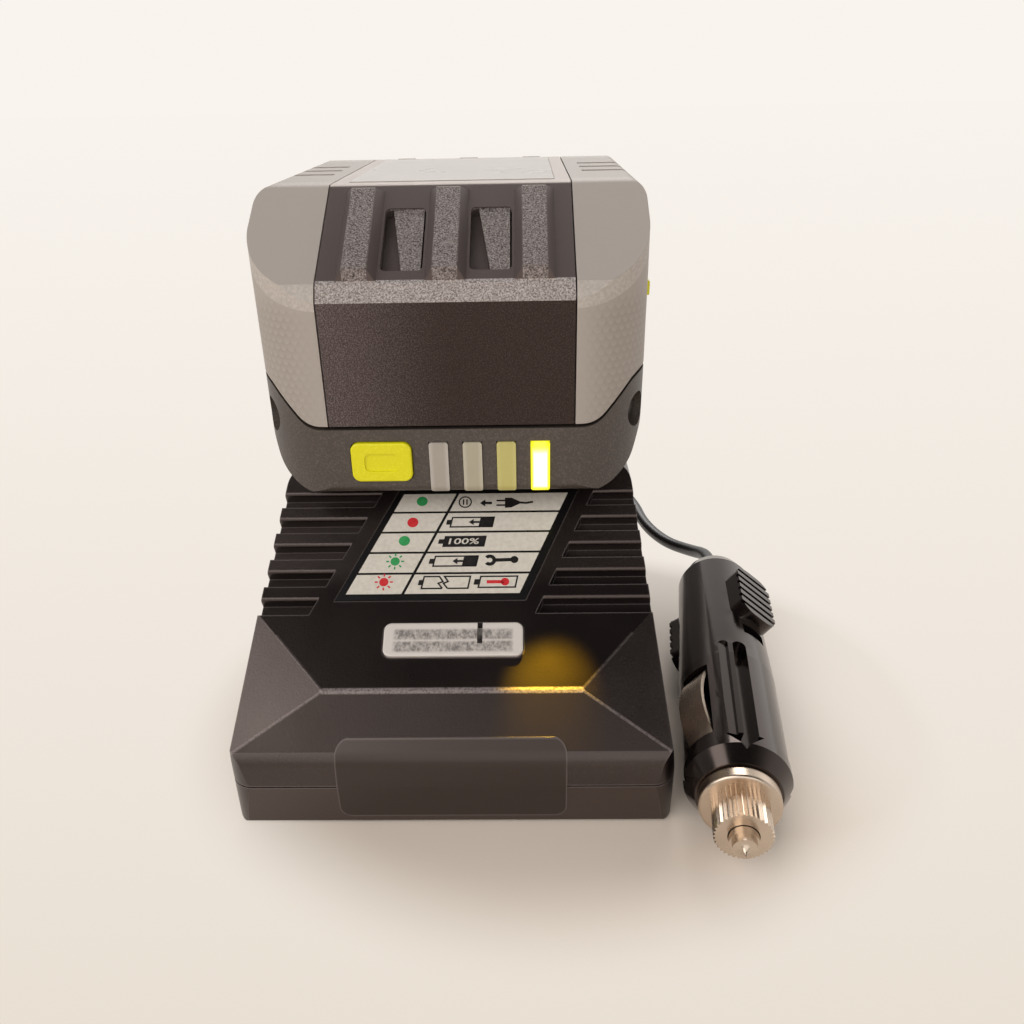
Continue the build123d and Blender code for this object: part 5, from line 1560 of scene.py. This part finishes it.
@dataclass
class Lead:
    """Thin twin lead from the charger's rear to the vehicle plug, with its spare length coiled."""

    diameter: float = 3.6
    length: float = 1084.0
    coil_middle: Span = (-8.0, 122.0)
    coil_outer: float = 28.0
    coil_pitch: float = 4.3
    coil_layer: float = 4.3
    coil_low: float = 2.9
    coil_turns: int = 3
    coil_points: int = 16
    coil_climb: float = 0.5
    coil_start: float = 60.0
    coil_lead: float = 3.6
    entry_run: float = 7.5
    leave_run: float = 10.0
    boot_run: float = 9.0
    plug_tip: Point = PLUG_TIP
    plug_turn: float = PLUG_TURN
    plug_length: float = 102.0
    cord_end: float = 97.0

    def coil(self) -> np.ndarray:
        """Points of the coil.

        The angle grows evenly, the radius shrinks by the pitch each turn to the middle and grows
        again, and the height climbs one layer in the half turn after the inmost one.

        Returns:
            Rows of x, y and z in millimetres.
        """
        span = 2 * self.coil_turns + self.coil_climb
        turn = np.linspace(0, span, int(span * self.coil_points) + 1)
        radius = self.coil_outer - self.coil_pitch * np.minimum(turn, span - turn)
        climb = np.clip((turn - self.coil_turns) / self.coil_climb, 0, 1)
        angle = np.radians(self.coil_start + 360 * turn)
        return np.column_stack((
            self.coil_middle[0] + radius * np.cos(angle),
            self.coil_middle[1] + radius * np.sin(angle),
            self.coil_low + self.coil_layer * climb,
        ))

    def route(self) -> np.ndarray:
        """Control points from the strain relief through the coil to the plug.

        The lead meets the coil's first and last turn along their tangent, a little before them.

        Returns:
            Rows of x, y and z in metres.
        """
        turn = math.radians(self.plug_turn)
        heading = np.array((-math.sin(turn), -math.cos(turn), 0.0))
        tip = np.array(self.plug_tip)
        coil = self.coil()
        begin = math.radians(self.coil_start)
        inward = np.array((-math.sin(begin), math.cos(begin), 0.0))
        entry = coil[0] - self.coil_lead * inward
        leave = coil[-1] - self.coil_lead * inward
        start = np.array((
            (26, 92.4, 17), (26, 101, 17), (26, 112, 13.2), (25.8, 123.5, 7.6), (22.4, 133, 4.2),
        ))
        run = np.array((
            (12, 88.5, 5.2), (31, 89.5, 3.4), (46, 82, 2.4), (52.5, 66, 2.0), (54, 49, 2.0),
            (59, 35, 2.6), (65, 24, 5.4),
        ))
        ends = [tip - heading * (self.plug_length + self.boot_run), tip - heading * self.cord_end]
        return np.concatenate((
            start, [entry - self.entry_run * inward, entry], coil,
            [leave, leave - self.leave_run * inward], run, ends,
        )) * MM

    def build(
        self, painter: Painter, nodes: Mapping[str, bpy.types.Object], spring: bpy.types.Object,
    ) -> bpy.types.Object:
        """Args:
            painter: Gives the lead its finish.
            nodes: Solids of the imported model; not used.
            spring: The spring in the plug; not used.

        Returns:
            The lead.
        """
        points = self.route()
        curve = bpy.data.curves.new("lead", "CURVE")
        curve.dimensions = "3D"
        curve.resolution_u = 6
        curve.bevel_depth = self.diameter / 2 * MM
        curve.bevel_resolution = 5
        curve.use_fill_caps = True
        spline = curve.splines.new("NURBS")
        spline.points.add(len(points) - 1)
        spline.points.foreach_set("co", np.column_stack((points, np.ones(len(points)))).ravel())
        spline.order_u = 3
        spline.use_endpoint_u = True
        spline.resolution_u = 6
        piece = bpy.data.objects.new("lead", curve)
        bpy.context.collection.objects.link(piece)
        painter.dress(piece, Finishes.cord)
        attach(piece, Body.CHARGER.value)
        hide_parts("cord_lead", "cord_coil", "cord_run")
        LOG.info("laid the lead over %d points", len(points))
        return piece


@dataclass(frozen=True)
class Softbox:
    """A square lamp, and the nodes that a black card keeps out of its light."""

    name: str
    place: Point
    size: float
    power: float
    kept_off: tuple[str, ...] = ()


@dataclass
class Studio:
    """Pale sweep of floor, even studio light and the photograph's camera."""

    focal: float = 30.66
    sensor: float = 36.0
    near: float = 10.0
    eye: Point = (15.7, -210.3, 135.0)
    pitch: float = 26.3
    yaw: float = -1.19
    roll: float = -1.13
    floor_half: float = 5000.0
    floor_near: str = "#e9dfd3"
    floor_far: str = "#f9f4ee"
    pale_from: float = -125.0
    pale_over: float = 180.0
    bounce: str = "#dcbfa8"
    bounce_share: float = 0.3
    shadow_middle: Span = (22.0, -40.0)
    shadow_half: Span = (72.0, 60.0)
    shadow_fade: Span = (0.85, 1.28)
    clear_right: Span = (55.0, 100.0)
    clear_behind: Span = (-50.0, 60.0)
    clear_share: float = 0.75
    room: str = "#fdfbf8"
    back_wall: tuple[Span, Span] = ((-0.2, 0.7), (0.2, 0.9))
    right_wall: tuple[Span, Span] = ((0.2, 0.95), (0.0, 0.55))
    ceiling: tuple[Span, Span] = ((0.35, 0.95), (1.0, 0.25))
    aim: Point = (0.0, 0.0, 40.0)
    lamp_colour: str = "#fffdfa"
    lamps: tuple[Softbox, ...] = (
        Softbox("key", (-1320.0, -1020.0, 1320.0), 1800.0, 27.0),
        Softbox("front", (150.0, -1800.0, 950.0), 2000.0, 15.0),
        Softbox(
            "back", (50.0, 1500.0, 1300.0), 1200.0, 16.0,
            kept_off=("plug_shell_upper", "plug_shell_lower"),
        ),
    )
    beam_place: Point = (18.4, -43.5, 58.5)
    beam_aim: Point = (19.8, -67.9, 27.4)
    beam_angle: float = 9.0
    beam_width: float = 3.6
    beam_power: float = 2.5
    beam_colour: str = "#ffcc00"

    def camera(self) -> None:
        """Set the camera: forward from yaw and pitch, then right and up turned by the roll."""
        pitch, yaw, roll = (math.radians(angle) for angle in (self.pitch, self.yaw, self.roll))
        forward = Vector((
            math.sin(yaw) * math.cos(pitch), math.cos(yaw) * math.cos(pitch), -math.sin(pitch),
        ))
        level = Vector((math.cos(yaw), -math.sin(yaw), 0.0))
        upright = level.cross(forward)
        right = level * math.cos(roll) + upright * math.sin(roll)
        up = upright * math.cos(roll) - level * math.sin(roll)
        data = bpy.data.cameras.new("camera")
        data.lens = self.focal
        data.sensor_width = self.sensor
        data.clip_start = self.near * MM
        eye = bpy.data.objects.new("camera", data)
        turned = Matrix((right, up, -forward)).transposed().to_4x4()
        eye.matrix_world = Matrix.Translation(Vector(self.eye) * MM) @ turned
        bpy.context.collection.objects.link(eye)
        bpy.context.scene.camera = eye

    def paper(self, tree: Tree) -> Socket:
        """Shade the floor's paper, which grows paler with distance as in the photograph.

        The distance past a start, over itself plus a length, blends the near tone into the far
        one. The camera, gloss and glass see that tone itself away from an oval under the object,
        right of it and behind it, so there the floor keeps less of the object's shadow.

        Args:
            tree: Node tree of the material.

        Returns:
            The surface shader.
        """
        place = put(tree, "TexCoord", out="Object")
        axes = put(tree, "SeparateXYZ", {"Vector": place}).node.outputs
        ahead = put(tree, "Math", {0: axes["Y"], 1: self.pale_from * MM}, operation="SUBTRACT")
        run = put(tree, "Math", {0: ahead, 1: 0.0}, operation="MAXIMUM")
        spread = put(tree, "Math", {0: run, 1: self.pale_over * MM}, operation="ADD")
        far = put(tree, "Math", {0: run, 1: spread}, operation="DIVIDE")
        tone = put(tree, "Mix", {
            0: far, 6: linear(self.floor_near), 7: linear(self.floor_far),
        }, data_type="RGBA")
        warm = put(tree, "Mix", {
            0: self.bounce_share, 6: tone, 7: linear(self.bounce),
        }, data_type="RGBA")
        lit = put(tree, "BsdfDiffuse", {"Color": warm})
        glow = put(tree, "Emission", {"Color": tone})
        under = put(tree, "VectorMath", {
            0: place, 1: Vector((*self.shadow_middle, 0.0)) * MM,
        }, operation="SUBTRACT")
        oval = put(tree, "VectorMath", {
            0: under, 1: (1 / (self.shadow_half[0] * MM), 1 / (self.shadow_half[1] * MM), 0.0),
        }, operation="MULTIPLY")
        off = put(tree, "VectorMath", {0: oval}, operation="LENGTH")
        clear = put(tree, "MapRange", {
            "Value": off, "From Min": self.shadow_fade[0], "From Max": self.shadow_fade[1],
        }, interpolation_type="SMOOTHSTEP")
        for axis, (start, end) in (("X", self.clear_right), ("Y", self.clear_behind)):
            side = put(tree, "MapRange", {
                "Value": axes[axis], "From Min": start * MM, "From Max": end * MM,
                "To Min": 0.0, "To Max": self.clear_share,
            }, interpolation_type="SMOOTHSTEP")
            clear = put(tree, "Math", {0: clear, 1: side}, operation="MAXIMUM")
        path = put(tree, "LightPath").node.outputs
        eye = put(tree, "Math", {
            0: path["Is Camera Ray"], 1: path["Is Glossy Ray"],
        }, operation="MAXIMUM")
        seen = put(tree, "Math", {0: eye, 1: path["Is Transmission Ray"]}, operation="MAXIMUM")
        share = put(tree, "Math", {0: seen, 1: clear}, operation="MULTIPLY")
        return put(tree, "MixShader", {0: share, 1: lit, 2: glow})

    def floor(self) -> None:
        """Lay the floor, a square sheet of matt paper."""
        half = self.floor_half * MM
        corners = [(-half, -half, 0), (half, -half, 0), (half, half, 0), (-half, half, 0)]
        data = bpy.data.meshes.new("floor")
        data.from_pydata(corners, [], [(0, 1, 2, 3)])
        sheet = bpy.data.objects.new("floor", data)
        bpy.context.collection.objects.link(sheet)
        paper = bpy.data.materials.new("paper_matt_cream")
        paper.use_nodes = True
        paper.node_tree.nodes.clear()
        surface = self.paper(paper.node_tree)
        put(paper.node_tree, "OutputMaterial", {"Surface": surface})
        data.materials.append(paper)

    def world(self) -> None:
        """Fill the room with cream light, and show the pale backdrop to the camera and glass.

        The light comes from the back and the right, and fades towards the ceiling.
        """
        room = bpy.data.worlds.new("room")
        bpy.context.scene.world = room
        room.use_nodes = True
        tree = room.node_tree
        tree.nodes.clear()
        path = put(tree, "LightPath").node.outputs
        seen = put(tree, "Math", {
            0: path["Is Camera Ray"], 1: path["Is Transmission Ray"],
        }, operation="MAXIMUM")
        toward = put(tree, "TexCoord", out="Generated")
        axes = put(tree, "SeparateXYZ", {"Vector": toward}).node.outputs
        back, right, ceiling = (
            put(tree, "MapRange", {
                "Value": axes[axis], "From Min": start, "From Max": end,
                "To Min": first, "To Max": last,
            }, interpolation_type="SMOOTHSTEP")
            for axis, ((start, end), (first, last)) in (
                ("Y", self.back_wall), ("X", self.right_wall), ("Z", self.ceiling),
            )
        )
        walls = put(tree, "Math", {0: back, 1: right}, operation="ADD")
        level = put(tree, "Math", {0: walls, 1: ceiling}, operation="MULTIPLY")
        light, wall = (
            put(tree, "Background", {"Color": linear(colour), "Strength": strength})
            for colour, strength in ((self.room, level), (self.floor_far, 1.0))
        )
        both = put(tree, "MixShader", {0: seen, 1: light, 2: wall})
        put(tree, "OutputWorld", {"Surface": both})

    def hang(
        self, data: bpy.types.Light, place: Point, aim: Point, width: float = 1.0,
    ) -> bpy.types.Object:
        """Hang a lamp so that it faces a point.

        Args:
            data: The lamp's light.
            place: Where it hangs, in millimetres.
            aim: What it faces, in millimetres.
            width: How much its light is stretched across.

        Returns:
            The lamp.
        """
        lamp = bpy.data.objects.new(data.name, data)
        toward = (Vector(aim) - Vector(place)).to_track_quat("-Z", "Y").to_matrix().to_4x4()
        wide = Matrix.Diagonal((width, 1.0, 1.0, 1.0))
        lamp.matrix_world = Matrix.Translation(Vector(place) * MM) @ toward @ wide
        bpy.context.collection.objects.link(lamp)
        return lamp

    def choose(self, lamp: bpy.types.Object, nodes: Sequence[str], reach: Reach) -> None:
        """Let a lamp light some nodes alone, or keep it off them as a black card does.

        Args:
            lamp: The lamp.
            nodes: Names of the nodes.
            reach: Whether the lamp lights them alone, or all but them.
        """
        chosen = bpy.data.collections.new(lamp.name + "_nodes")
        for name in nodes:
            chosen.objects.link(bpy.data.objects[name])
        for member in chosen.collection_objects:
            member.light_linking.link_state = reach.value
        lamp.light_linking.receiver_collection = chosen

    def softbox(self, box: Softbox) -> None:
        """Hang a square lamp.

        Args:
            box: The lamp's sizes and power.
        """
        data = bpy.data.lights.new(box.name, "AREA")
        data.shape = "SQUARE"
        data.size = box.size * MM
        data.energy = box.power
        data.color = linear(self.lamp_colour)[:3]
        lamp = self.hang(data, box.place, self.aim)
        if box.kept_off:
            self.choose(lamp, box.kept_off, Reach.ALL_BUT)

    def beam(self) -> None:
        """Send the lit gauge window's yellow light down on the deck, which alone takes it."""
        data = bpy.data.lights.new("gauge_beam", "SPOT")
        data.spot_size = math.radians(self.beam_angle)
        data.spot_blend = 1.0
        data.shadow_soft_size = 1.0 * MM
        data.energy = self.beam_power
        data.color = linear(self.beam_colour)[:3]
        lamp = self.hang(data, self.beam_place, self.beam_aim, self.beam_width)
        self.choose(lamp, ("upper_housing",), Reach.ALONE)

    def build(self) -> None:
        """Set up the room, the floor, the camera and the lamps."""
        bpy.context.scene.view_settings.view_transform = "Standard"
        self.world()
        self.floor()
        self.camera()
        for box in self.lamps:
            self.softbox(box)
        self.beam()


def main() -> None:
    """Dress the solids, add the label, the spring and the lead, and set up the studio."""
    logging.basicConfig(level=logging.INFO, format="%(name)s: %(message)s")
    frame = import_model()
    painter = Painter()
    for node, finish in Finishes.by_node().items():
        painter.dress(frame["nodes"][node], finish)
    InstructionLabel().build(painter)
    Lead().build(painter, frame["nodes"], TipSpring().build(painter))
    Studio().build()


if __name__ == "__main__":
    main()
